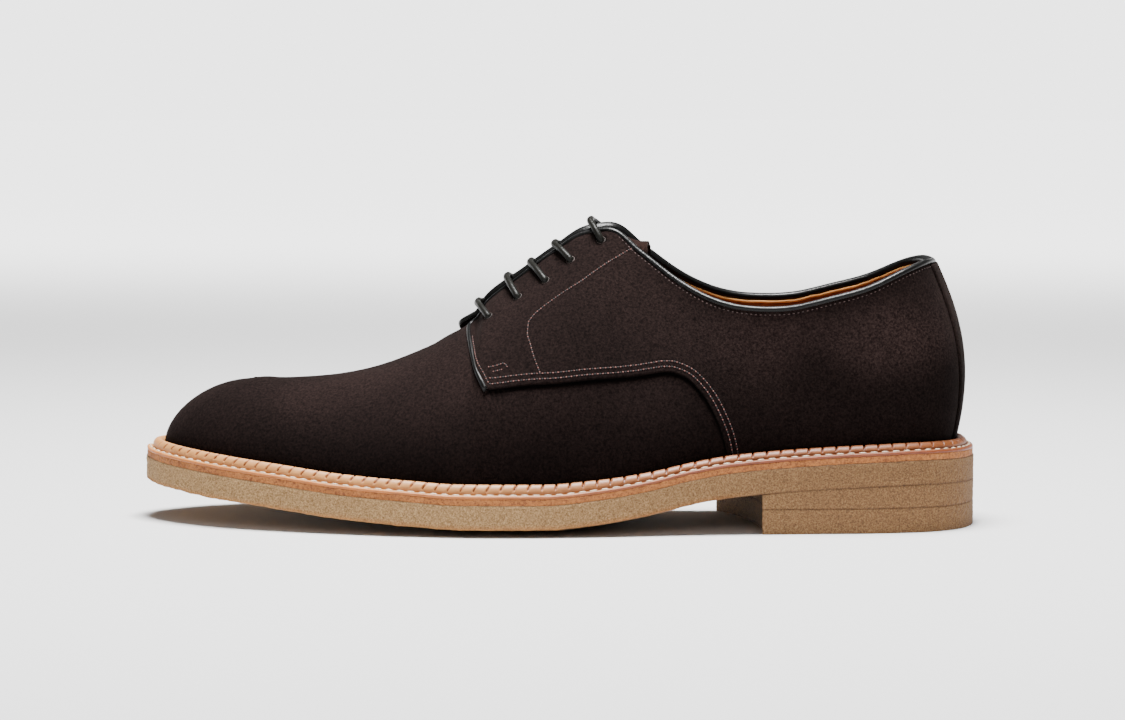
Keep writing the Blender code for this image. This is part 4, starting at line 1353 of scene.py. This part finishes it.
def smooth_path(points, parts):
    """Catmull-Rom curve through points."""
    path = []
    for i in range(len(points) - 1):
        a, b = points[max(i - 1, 0)], points[i]
        c, d = points[i + 1], points[min(i + 2, len(points) - 1)]
        for k in range(parts):
            t = k / parts
            path.append(
                b * 1.0 + (c - a) * (0.5 * t) + (a * 2 - b * 5 + c * 4 - d) * (0.5 * t * t)
                + (b * 3 - a - c * 3 + d) * (0.5 * t**3)
            )
    return path + [points[-1]]


def make_lace():
    eyelets = list(reversed(HOLES))
    tops = list(reversed(LACE_TOPS))
    tail = [lifted(place, step - 0.02, -INSIDE_RUN) for place, step in reversed(eyelets)]
    points = [lifted(*eyelets[-1], -WALL - 0.0016)] + tail
    for i, (place, step) in enumerate(eyelets):
        bar = bar_points(place, step, tops[i])
        points += bar if i % 2 == 0 else list(reversed(bar))
    path = smooth_path(points, 8)
    frames = []
    side = Vector((0.0, 0.0, 1.0))
    for i in range(len(path)):
        run = (path[min(i + 1, len(path) - 1)] - path[max(i - 1, 0)]).normalized()
        side = (side - run * side.dot(run)).normalized()
        frames.append((side.copy(), run.cross(side).normalized()))
    angles = [math.tau * k / LACE_SIDES for k in range(LACE_SIDES)]
    circle = [(LACE / 2.0 * math.cos(angle), LACE / 2.0 * math.sin(angle)) for angle in angles]
    print("lace length", round(sum((b - a).length for a, b in zip(path, path[1:])), 3))
    return sweep("lace", path, frames, lambda i: circle, CORD)


lace = stands_for(make_lace(), "waxed_cord", "lace")

# %% [markdown]
# ## Eyelets
# The lace holes are punched through the facing, with no metal. Round pins cut them with a Boolean, and
# a thin lip round each one, a small ring spun round the hole, is the leather's edge raised by the punch,
# light in colour as a painted highlight.

# %% Eyelet holes
EYELET = 0.0031
PIN_LENGTH = 0.008


def hole_frames(foot):
    """A matrix at every lace hole of both facings, at foot(place, step), with Z out of the leather."""
    for place, step in HOLES:
        for here in (place, 2.0 - place):
            turned = normal(here, step).to_track_quat("Z", "Y").to_matrix().to_4x4()
            yield Matrix.Translation(foot(here, step)) @ turned


def make_eyelet_pins():
    work = bmesh.new()
    size = {"radius1": EYELET / 2.0, "radius2": EYELET / 2.0, "depth": PIN_LENGTH}
    for matrix in hole_frames(surface):
        bmesh.ops.create_cone(work, cap_ends=True, segments=24, matrix=matrix, **size)
    mesh = bpy.data.meshes.new("eyelet_pins")
    work.to_mesh(mesh)
    work.free()
    pins = bpy.data.objects.new("eyelet_pins", mesh)
    bpy.context.scene.collection.objects.link(pins)
    return pins


def punch(piece, pins):
    """Cut the pins out of a piece and put all its modifiers into its mesh."""
    cut = piece.modifiers.new("eyelets", "BOOLEAN")
    cut.operation = "DIFFERENCE"
    cut.solver = "EXACT"
    cut.object = pins
    graph = bpy.context.evaluated_depsgraph_get()
    mesh = bpy.data.meshes.new_from_object(piece.evaluated_get(graph))
    piece.modifiers.clear()
    piece.data = mesh
    print(piece.name, len(mesh.polygons), "faces with eyelets")


eyelet_pins = make_eyelet_pins()
for piece in (quarters, vamp, lining):
    punch(piece, eyelet_pins)
bpy.data.objects.remove(eyelet_pins, do_unlink=True)

# %% Eyelet rims
RIM = 0.00011


def make_eyelet_rims():
    """Thin lips where the punch has raised the leather's edge, light in colour as a painted highlight."""
    work = bmesh.new()
    aside = Matrix.Translation((EYELET / 2.0 + RIM * 0.5, 0.0, 0.0)) @ Matrix.Rotation(math.pi / 2.0, 4, "X")
    for matrix in hole_frames(lambda place, step: skin(place, step, QUARTER_STEP)):
        ring = bmesh.ops.create_circle(work, segments=8, radius=RIM, matrix=matrix @ aside)["verts"]
        edges = list({edge for vert in ring for edge in vert.link_edges})
        bmesh.ops.spin(
            work, geom=ring + edges, cent=matrix.translation, axis=matrix.to_3x3().col[2],
            dvec=(0.0, 0.0, 0.0), angle=math.tau, steps=28, use_merge=True, use_duplicate=False,
        )
    bmesh.ops.remove_doubles(work, verts=work.verts, dist=1e-6)
    bmesh.ops.recalc_face_normals(work, faces=work.faces)
    return put_in_scene("eyelet_rims", work, EYELET_RIM_HIGHLIGHT)


eyelet_rims = stands_for(make_eyelet_rims(), "suede")

# %% [markdown]
# ## Stitches
# A row of stitches is a row of short threads, each lying a little into the leather, with a dark mark
# at its ends as painted shade in the needle holes. Rows are given as points seen from the side, found on
# the last, and filled with stitches at the thread's own pitch. One little sphere is copied and stretched
# for each stitch, and all the stitches of one thread are joined in one mesh.

# %% Stitches in a row
def stitch_shape():
    """One stitch: a little sphere, ready to be stretched along its thread."""
    work = bmesh.new()
    bmesh.ops.create_uvsphere(work, u_segments=8, v_segments=5, radius=1.0)
    mesh = bpy.data.meshes.new("stitch")
    work.to_mesh(mesh)
    work.free()
    return mesh


STITCH = stitch_shape()


def stitch_mesh(name, rows, finish, share, width, height, slot, shift=0.0):
    """Stitches along rows of (path, directions out, pitch), each a share of the pitch long."""
    work = bmesh.new()
    for path, outs, pitch in rows:
        size = Matrix.Diagonal((pitch * share / 2.0, width / 2.0, height / 2.0, 1.0))
        travelled, wanted = 0.0, pitch * (0.5 + shift)
        for a, b, out in zip(path, path[1:], outs):
            gap = (b - a).length
            while gap > 0.0 and travelled + gap >= wanted:
                run = (b - a).normalized()
                side = out.cross(run).normalized()
                turned = Matrix((run, side, run.cross(side))).transposed().to_4x4()
                stitch = STITCH.copy()
                stitch.transform(Matrix.Translation(a.lerp(b, (wanted - travelled) / gap)) @ turned @ size)
                work.from_mesh(stitch)
                bpy.data.meshes.remove(stitch)
                wanted += pitch
            travelled += gap
    return stands_for(put_in_scene(name, work, finish), slot)


def side_row(points, pitch, height, side):
    """Row of stitches through points seen from the side."""
    knots = list(range(len(points)))
    xs = [x for x, z in points]
    zs = [z for x, z in points]
    path, outs = [], []
    count = 10 * len(points)
    for i in range(count + 1):
        at = i / count * knots[-1]
        place, step = spot(curve(knots, xs, at), curve(knots, zs, at), side)
        path.append(skin(place, step, height))
        outs.append(normal(place, step))
    return path, outs, pitch


def offset_row(points, distance):
    """The same line from the side, moved to its left by a distance."""
    moved = []
    for i in range(len(points)):
        a = Vector(points[max(i - 1, 0)])
        b = Vector(points[min(i + 1, len(points) - 1)])
        run = (b - a).normalized()
        moved.append((points[i][0] - run.y * distance, points[i][1] + run.x * distance))
    return moved


print("one stitch has", len(STITCH.polygons), "faces")

# %% Stitch rows of the upper
FACING_LINE = (
    (0.0757, 0.1036), (0.0784, 0.1022), (0.0845, 0.0990), (0.0917, 0.0945), (0.0990, 0.0892),
    (0.1067, 0.0841), (0.1128, 0.0796), (0.1160, 0.0766), (0.1175, 0.0740), (0.1176, 0.0709),
    (0.1164, 0.0673), (0.1146, 0.0623), (0.1123, 0.0571),
)
BAR_TACK = ((0.1318, 0.0590), (0.1302, 0.0592), (0.1280, 0.0597), (0.1258, 0.0604), (0.1240, 0.0590))
BAR_TACK_LOW = ((0.1300, 0.0574), (0.1284, 0.0578), (0.1260, 0.0584))
THREAD_HEIGHT = QUARTER_STEP + 0.00005
EDGE_ROW_INSETS = (0.0020, 0.0039)
FRONT_ROW_INSET = 0.0017
LOWER_PITCH = 0.0019
FACING_PITCH = 0.0017
FRONT_PITCH = 0.0016
TACK_PITCH = 0.0015
COLLAR_PITCH = 0.0017
COLLAR_ROW = 0.0018
COLLAR_ROW_END = 0.425
COLLAR_ROW_POINTS = 600


def collar_row():
    """Row of stitches under the binding, all round the collar to the tops of the facings."""
    reach = turn(COLLAR_ROW_END)
    path, outs = [], []
    for i in range(COLLAR_ROW_POINTS + 1):
        place = -reach + 2.0 * reach * i / COLLAR_ROW_POINTS
        second, top = rib(place)[2:]
        step = 1.0 - COLLAR_ROW / (top - second).length / 3.0
        path.append(skin(place, step, THREAD_HEIGHT - 0.00008))
        outs.append(normal(place, step))
    return path, outs, COLLAR_PITCH


def upper_rows(side):
    """All the stitch rows of one quarter."""
    lower = edge_line(side)[4:116:4]
    front = edge_line(side)[EDGE_SAMPLES + 2 : EDGE_SAMPLES + 20 : 4]
    lines = [(offset_row(lower, inset), LOWER_PITCH) for inset in EDGE_ROW_INSETS]
    lines += [(offset_row(front, FRONT_ROW_INSET), FRONT_PITCH), (FACING_LINE, FACING_PITCH)]
    lines += [(BAR_TACK, TACK_PITCH), (BAR_TACK_LOW, TACK_PITCH)]
    return [side_row(points, pitch, THREAD_HEIGHT, side) for points, pitch in lines]


ROWS = upper_rows("lateral") + upper_rows("medial")
upper_stitches = stitch_mesh("upper_stitches", ROWS, THREAD, 0.40, 0.00042, 0.00036, "suede")
# Dark marks between the stitches are painted shade in the needle holes
needle_hole_shades = stitch_mesh("needle_hole_shades", ROWS, HOLE_SHADE, 0.46, 0.00050, 0.00022, "suede", 0.5)
collar_stitches = stitch_mesh(
    "collar_stitches", [collar_row()], COLLAR_THREAD, 0.5, 0.0004, 0.0003, "suede"
)

# %% [markdown]
# ## The sole's layers
# Each layer is a closed sheet rolled round the sole: its rows go from the middle of the underside out
# to the edge, up the edge and back to the middle of the top. A row near the edge is a distance inside
# it, and the other rows slide towards the sole's spine, where the two sides meet and close.

# %% Layers
def spine(place):
    """Point of the sole's middle line beside a place."""
    local = side_of(place)[1]
    outer, inner = edge(local)[0], edge(2.0 - local)[0]
    return (outer + inner) / 2.0


def layer(name, rows, count, finish, shade=None, roughen=None):
    """Closed layer round the sole: rows are (inset, share of the way to the spine, level)."""
    places = all_round(count)

    def point(i, j):
        place = places[i]
        inset, inner, level = rows[j]
        here = outline(place, inset)
        if inner > 0.0:
            here = here.lerp(spine(place), inner)
        here.z = level(here.x)
        return roughen(place, here, j) if roughen else here

    return sheet(name, count, len(rows), point, finish, shade=shade)


def raised(level, height):
    """A level of the sole, moved up by a height."""
    return lambda x: level(x) + height


print("spine at the ball", tuple(spine(turn(0.66))))

# %% [markdown]
# ### Crepe outsole
# Crepe is cut with a knife, so its lower edge is a little wavy and crumbled, and its face is a field
# of small pebbles. The pebbles are real relief here: noise moves every corner of the edge in and out.

# %% Outsole
OUTSOLE_COLUMNS = 1900
EDGE_ROWS = 33
UNDER_SHARES = (1.0, 0.98, 0.8, 0.6, 0.4, 0.2, 0.08)
UNDER_INSET = 0.002
UNDER_INSETS = (0.0014, 0.0007)
TOP_INSET = 0.004
WAVE = 0.00040
RIPPLE = 0.00022
WAVE_LIFT = 0.00018
PEBBLE = 0.00034
# Share of the crown at a distance inside the edge, where the sole is as wide as at the ball
CROWN_BEND = ((0.0, 1.0), (0.0008, 0.96), (0.003, 0.88), (0.008, 0.65), (0.016, 0.30), (0.026, 0.0))


def crown_share(distance, share):
    """How much of the crown is left at a distance inside the edge."""
    width = read(OUTLINE_TABLE, "lateral", share) - read(OUTLINE_TABLE, "medial", share)
    distance = distance / (0.4 + 0.6 * width)
    for (a, low), (b, high) in zip(CROWN_BEND, CROWN_BEND[1:]):
        if distance <= b:
            return low + (high - low) * (distance - a) / (b - a)
    return 0.0


def pebble(point, inward, size):
    """Move a point of crepe in or out by its pebbles."""
    fine = noise.noise(point * 1100.0) * 0.6 + noise.noise(point * 520.0) * 0.4
    return point + inward * (fine * size)


def make_outsole():
    kinds = [("under", UNDER_INSET, inner) for inner in UNDER_SHARES]
    kinds += [("under", inset, 0.0) for inset in UNDER_INSETS]
    first_edge = len(kinds)
    kinds += [("edge", k / (EDGE_ROWS - 1), 0.0) for k in range(EDGE_ROWS)]
    kinds += [("top", 0.0007, 0.0)] + [("top", TOP_INSET, inner) for inner in (0.0, 0.5, 1.0)]
    places = all_round(OUTSOLE_COLUMNS)

    def waves(border, front):
        """Unevenness of the knife's cut along the lower edge, in front of the heel."""
        wave = noise.noise(Vector((border.x * 240.0, border.y * 240.0, 1.5))) * WAVE
        wave += noise.noise(Vector((border.x * 700.0, border.y * 700.0, 4.5))) * RIPPLE
        return (wave + WAVE_LIFT) * front

    def point(i, j):
        place = places[i]
        kind, value, inner = kinds[j]
        border, inward = edge(place)
        share = share_at(border.x)
        front = blend(0.28, 0.34, share)
        if kind == "edge":
            round_off = max(1.0 - value / 0.08, 0.0) ** 2 * (0.0001 + 0.0004 * front)
            round_off += max((value - 0.96) / 0.04, 0.0) ** 2 * 0.0002
            here = border + inward * round_off
            here.z = ground(border.x) + crown(border.x) + OUTSOLE_EDGE * value
            here.z += waves(border, front) * max(1.0 - value / 0.25, 0.0)
            return pebble(here, inward, PEBBLE)
        here = border + inward * value
        if inner > 0.0:
            here = here.lerp(spine(place), inner)
        if kind == "top":
            here.z = outsole_top(here.x)
            return here
        far = (Vector((here.x, here.y, 0.0)) - border).length
        here.z = ground(here.x) + crown(here.x) * crown_share(far, share)
        if inner <= 0.0:
            here.z += waves(border, front) * (1.0 - value / UNDER_INSET)
        return here

    def shade(i, j):
        """Orange along the lower edge in front, and dark in the seams over it."""
        if not first_edge <= j < first_edge + EDGE_ROWS:
            return 0.3
        value = (j - first_edge) / (EDGE_ROWS - 1)
        on_heel = 1.0 - blend(0.24, 0.30, share_of(side_of(places[i])[1]))
        low = max(1.0 - value / 0.22, 0.0) * (1.0 - on_heel)
        seam = max(max(1.0 - value / 0.07, 0.0) * on_heel, (value - 0.95) / 0.05)
        return PLAIN_TINT * (1.0 - low + seam)

    return sheet("outsole", OUTSOLE_COLUMNS, len(kinds), point, CREPE, shade=shade)


outsole = stands_for(make_outsole(), "crepe", "outsole")

# %% [markdown]
# ### Heel
# Two lifts of the same crepe make the low heel. In front they end in the breast, a hollow arc that is
# cut square across. The contour is the sole's edge round the heel, closed by that arc, and each lift
# is a closed sheet of rows that shrink to one point below and above.

# %% Heel lifts
HEEL_POINTS = 640
BREAST_POINTS = 100
LIFT_PEBBLE = 0.00030
LIFT_SEAM = 0.00003
LIFT_ROWS_IN = (1.0, 0.6, 0.25, 0.05)
LIFT_ROWS_OUT = (0.05, 0.5, 1.0)


def heel_contour():
    """Points round the heel and the directions into it, with the breast's arc."""
    lateral_end = share_at(HEEL_LENGTH_LATERAL - HEEL_CENTRE)
    medial_end = share_at(HEEL_LENGTH_MEDIAL - HEEL_CENTRE)
    a, b = -turn(medial_end), turn(lateral_end)
    contour = [edge((a + (b - a) * i / HEEL_POINTS) % 2.0) for i in range(HEEL_POINTS + 1)]
    start, end = contour[-1][0], contour[0][0]
    chord = end - start
    back = Vector((chord.y, -chord.x, 0.0)).normalized()
    if back.x > 0.0:
        back = -back
    for i in range(BREAST_POINTS + 1):
        part = i / BREAST_POINTS
        hollow = BREAST_HOLLOW * 4.0 * part * (1.0 - part)
        contour.append((start + chord * part + back * hollow, back))
    return contour


CONTOUR = heel_contour()


def make_lift(name, bottom, top, rows, roundness):
    """One lift between two levels, its seams dark: the top piece has none at the floor."""
    kinds = [("under", value) for value in LIFT_ROWS_IN]
    kinds += [("edge", k / (rows - 1)) for k in range(rows)]
    kinds += [("over", value) for value in LIFT_ROWS_OUT]
    first_edge = len(LIFT_ROWS_IN)

    def point(i, j):
        border, inward = CONTOUR[i % len(CONTOUR)]
        kind, value = kinds[j]
        if kind == "edge":
            height = top(border.x) - bottom(border.x)
            near = min(value, 1.0 - value) * height
            here = border + inward * (max(1.0 - near / roundness, 0.0) ** 2 * roundness)
            here.z = bottom(border.x) + height * value
            return pebble(here, inward, LIFT_PEBBLE)
        here = (border + inward * roundness).lerp(Vector((0.0, 0.0, 0.0)), value)
        here.z = bottom(here.x) if kind == "under" else top(here.x)
        return here

    def shade(i, j):
        if not first_edge <= j < first_edge + rows:
            return 0.4
        value = (j - first_edge) / (rows - 1)
        seam = max(1.0 - value / 0.06, (value - 0.93) / 0.07, 0.0)
        at_floor = name == "heel_top_piece" and value <= 0.5
        return PLAIN_TINT + (0.0 if at_floor else 0.5 * seam)

    piece = sheet(name, len(CONTOUR) + 1, len(kinds), point, CREPE, shade=shade)
    return stands_for(piece, "crepe", name)


def flat(height):
    return lambda x: height


heel_top_piece = make_lift("heel_top_piece", flat(0.0), flat(TOP_PIECE), 30, 0.00012)
heel_lift = make_lift("heel_lift", flat(TOP_PIECE + LIFT_SEAM), raised(ground, -LIFT_SEAM), 22, 0.00006)

# %% [markdown]
# ### Midsole and welt
# Above the crepe lie a thin leather midsole, rough at its cut edge, and the smooth welt. They are
# stitched together all round with thick pale thread that lies in the corner beside the raised bead.

# %% Midsole and welt
STRIP_INSET = 0.0003
STRIP_UNDER = 0.003
MIDSOLE_COLUMNS = 1500
MIDSOLE_PARTS = (0.0, 0.06, 0.2, 0.4, 0.6, 0.8, 0.94, 1.0)
WELT_COLUMNS = 1300
WELT_EDGE = WELT * 0.82
WELT_INSIDE = 0.0125


def make_midsole():
    low = raised(outsole_top, 0.00006)
    high = raised(welt_top, -WELT_EDGE)

    def between(part):
        return lambda x: low(x) + (high(x) - low(x)) * part

    rows = [(STRIP_UNDER, 1.0, low), (STRIP_UNDER, 0.0, low)]
    rows += [(STRIP_INSET, 0.0, between(part)) for part in MIDSOLE_PARTS]
    rows += [(STRIP_UNDER, 0.0, high), (STRIP_UNDER, 1.0, high)]
    first, last = 2, 1 + len(MIDSOLE_PARTS)

    def roughen(place, here, j):
        if not first <= j <= last:
            return here
        corner = 0.00012 if j in (first, last) else 0.0
        return here + edge(place)[1] * (noise.noise(here * 900.0) * 0.00030 + corner)

    return layer("midsole", rows, MIDSOLE_COLUMNS, EDGE_LEATHER, roughen=roughen)


def make_welt():
    bottom = 0.00004 - WELT_EDGE
    section = (
        (WELT_INSIDE, bottom), (STRIP_UNDER, bottom), (STRIP_INSET, bottom), (STRIP_INSET - 0.0001, -0.0007),
        (STRIP_INSET, -0.0002), (0.0008, -0.00004), (0.0012, 0.0), (0.0030, 0.0), (0.0060, 0.0),
        (WELT_INSIDE, 0.0), (WELT_INSIDE, bottom),
    )
    rows = [(inset, 0.0, raised(welt_top, rise)) for inset, rise in section]

    def soften(place, here, j):
        if not 2 <= j <= 5:
            return here
        return here + edge(place)[1] * (noise.noise(here * 500.0) * 0.00012)

    def shade(i, j):
        return ORANGE_TINT if 2 <= j <= 4 else 0.0

    return layer("welt", rows, WELT_COLUMNS, WELT_LEATHER, shade=shade, roughen=soften)


midsole = stands_for(make_midsole(), "edge_leather", "midsole")
welt = stands_for(make_welt(), "welt_leather", "welt")

# %% [markdown]
# ### The notched bead
# A storm welt has a raised bead against the upper. Here it is nicked at even steps, so that it bends
# round the toe and heel: short shallow cuts in front, longer ones along the waist and the heel. The
# sweep is fine enough for each cut to be a real groove.

# %% Bead with its notches
BEAD_COLUMNS = 3200
BEAD_OUTSIDE = 0.0026
BEAD_INSIDE = 0.0062
BEAD_BACK_HEIGHT = 0.70
NOTCH_PITCH_FRONT = 0.0046
NOTCH_PITCH_BACK = 0.0051
# Share of the way across the bead and share of its height, from the outside in
BEAD_SHAPE = (
    (0.00, 0.00), (-0.04, 0.14), (-0.05, 0.28), (-0.03, 0.42), (0.02, 0.55), (0.08, 0.67), (0.16, 0.78),
    (0.26, 0.88), (0.38, 0.95), (0.52, 1.00), (0.68, 0.97), (0.82, 0.88), (0.94, 0.72), (1.00, 0.50),
    (1.00, 0.00),
)


def notch_pitch(front):
    return NOTCH_PITCH_BACK + (NOTCH_PITCH_FRONT - NOTCH_PITCH_BACK) * front


def notch_phases(places, fronts):
    """Count of notches passed at each place, stretched to a whole number round the shoe."""
    phases = [0.0]
    for a, b, front in zip(places, places[1:], fronts[1:]):
        phases.append(phases[-1] + (outline(b, 0.003) - outline(a, 0.003)).length / notch_pitch(front))
    stretch = round(phases[-1]) / phases[-1]
    return [phase * stretch for phase in phases]


def make_bead():
    places = all_round(BEAD_COLUMNS)
    shares = [share_of(side_of(place)[1]) for place in places]
    fronts = [blend(0.42, 0.58, share) for share in shares]
    phases = notch_phases(places, fronts)

    @functools.lru_cache(maxsize=None)
    def depth(i, j):
        """How deep the notch is at a column and a row of the bead, from 0 to 1."""
        across, rise = BEAD_SHAPE[j]
        front = fronts[i]
        pitch = notch_pitch(front)
        side = 1.0 if places[i] <= 1.0 else -1.0
        phase = phases[i] + (0.0008 + 0.0014 * front) * (rise - 0.6) * side / pitch
        jitter = math.sin(12.9898 * round(phase))
        away = abs((phase + 0.5 + 0.06 * jitter) % 1.0 - 0.5) * pitch
        half = (0.00036 + 0.00008 * jitter) * front + (0.00012 + 0.00034 * rise**2) * (1.0 - front)
        cut = min(max(1.0 - away / half, 0.0) * 2.0, 1.0)
        start = 0.36 + 0.10 * jitter
        fade = blend(start, start + 0.15, rise)
        top = 1.0 - blend(0.60, 0.90, across) * front
        return cut * fade * top * (1.0 - blend(0.975, 0.99, shares[i]))

    def point(i, j):
        across, rise = BEAD_SHAPE[j]
        cut = depth(i, j)
        inner = across + cut * (0.36 - 0.10 * fronts[i]) * (1.0 - across)
        here = outline(places[i], BEAD_OUTSIDE + (BEAD_INSIDE - BEAD_OUTSIDE) * inner)
        tall = BEAD_HEIGHT * (BEAD_BACK_HEIGHT + (1.0 - BEAD_BACK_HEIGHT) * blend(0.30, 0.50, shares[i]))
        here.z = welt_top(here.x) + 0.00005 + tall * rise * (1.0 - cut * (0.30 - 0.20 * fronts[i]))
        return here

    # Painted shade in the notches, from their depth
    def shade(i, j):
        return min(depth(i, j) * 1.2, 1.0)

    return sheet(
        "storm_bead", BEAD_COLUMNS, len(BEAD_SHAPE), point, WELT_LEATHER, inside=core, shade=shade
    )


storm_bead = stands_for(make_bead(), "welt_leather", "welt")

# %% Welt stitches
WELT_ROW_INSET = 0.0015
WELT_PITCH = 0.0041


def welt_row():
    """Row of stitches in the corner between the welt's edge and the bead."""
    path, outs = [], []
    for place in all_round(1200):
        here = outline(place, WELT_ROW_INSET)
        here.z = welt_top(here.x) + 0.00010
        path.append(here)
        outs.append(Vector((0.0, 0.0, 1.0)))
    return path, outs, WELT_PITCH


welt_stitches = stitch_mesh(
    "welt_stitches", [welt_row()], WELT_THREAD, 0.68, 0.0007, 0.00065, "welt_leather"
)

# %% [markdown]
# ## Insole
# The sock that covers the insole is smooth lining leather. It shows only from above, so it is a plain
# grid across the shoe with a slight cup, lower in the middle than at its edges.

# %% Insole
INSOLE_COLUMNS = 140
INSOLE_ROWS = 25
CUP = 0.0008


def make_insole():
    def point(i, j):
        place = 0.004 + 0.992 * i / (INSOLE_COLUMNS - 1)
        inset = UPPER_INSET + QUARTER_STEP * read(RIB_TABLE, "quarter", share_of(place)) + WALL + 2.0 * GAP
        part = j / (INSOLE_ROWS - 1)
        here = outline(place, inset).lerp(outline(2.0 - place, inset), part)
        here.z = welt_top(here.x) + GAP + INSOLE - CUP * 4.0 * part * (1.0 - part)
        return here

    def below(point):
        return point - Vector((0.0, 0.0, 1.0))

    return thicken(sheet("insole", INSOLE_COLUMNS, INSOLE_ROWS, point, LINING, inside=below), 0.002)


insole = stands_for(make_insole(), "lining_leather", "insole")

# %% [markdown]
# ## Floor and light
# The photograph has a white sweep and one broad soft light overhead, a little towards the toe. The
# floor is a pale disc. Far from the shoe, where the light falls off, it glows by itself just enough to
# meet the horizon, as a lit sweep would. The world is bright only low down behind the shoe, and dim
# everywhere else, so that black leather stays black.

# %% Floor
HORIZON = 3.3
FLOOR_RADIUS = 9.0


def make_floor():
    work = bmesh.new()
    bmesh.ops.create_circle(work, cap_ends=True, segments=96, radius=FLOOR_RADIUS)
    mesh = bpy.data.meshes.new("floor")
    work.to_mesh(mesh)
    work.free()
    floor = bpy.data.objects.new("floor", mesh)
    finish = Finish("floor", (0.58, 0.58, 0.58), 0.9, Specular_IOR_Level=0.1, Emission_Color=(*WHITE, 1.0))
    glow = finish.spread(finish.level(-0.35, -2.4, "Y"), 0.0, 1.0, HORIZON)
    finish.link(glow, finish.shader.inputs["Emission Strength"])
    mesh.materials.append(finish.material)
    bpy.context.scene.collection.objects.link(floor)
    return floor


floor = make_floor()
print("floor of radius", FLOOR_RADIUS)

# %% World and lights
DIM = 0.12
CENTRE = (0.11, 0.0, 0.05)


def make_world():
    """Dim all round, and bright only low down behind the shoe."""
    world = bpy.data.worlds.new("studio")
    world.use_nodes = True
    tree = world.node_tree
    direction = tree.nodes.new("ShaderNodeTexCoord")
    apart = tree.nodes.new("ShaderNodeSeparateXYZ")
    tree.links.new(direction.outputs["Generated"], apart.inputs["Vector"])
    both = tree.nodes.new("ShaderNodeMath")
    both.operation = "MULTIPLY"
    for k, (axis, start, end) in enumerate((("Z", 0.22, 0.06), ("Y", 0.30, -0.30))):
        part = tree.nodes.new("ShaderNodeMapRange")
        part.interpolation_type = "SMOOTHSTEP"
        part.inputs["From Min"].default_value = start
        part.inputs["From Max"].default_value = end
        tree.links.new(apart.outputs[axis], part.inputs["Value"])
        tree.links.new(part.outputs["Result"], both.inputs[k])
    strength = tree.nodes.new("ShaderNodeMapRange")
    strength.inputs["To Min"].default_value = DIM
    strength.inputs["To Max"].default_value = HORIZON
    tree.links.new(both.outputs["Value"], strength.inputs["Value"])
    tree.links.new(strength.outputs["Result"], tree.nodes["Background"].inputs["Strength"])
    tree.nodes["Background"].inputs["Color"].default_value = (1.0, 1.0, 1.0, 1.0)
    bpy.context.scene.world = world


def light(name, place, width, depth, power):
    """Soft rectangular lamp that looks at the shoe."""
    data = bpy.data.lights.new(name, "AREA")
    data.shape = "RECTANGLE"
    data.size = width
    data.size_y = depth
    data.energy = power
    lamp = bpy.data.objects.new(name, data)
    lamp.location = place
    lamp.rotation_euler = (Vector(CENTRE) - Vector(place)).to_track_quat("-Z", "Y").to_euler()
    bpy.context.scene.collection.objects.link(lamp)
    print(name, "light of", power, "watts")


make_world()
light("key", (0.09, 0.02, 1.3), 0.56, 0.46, 96.0)
light("fill", (-0.25, 1.5, 1.0), 0.9, 0.9, 6.0)
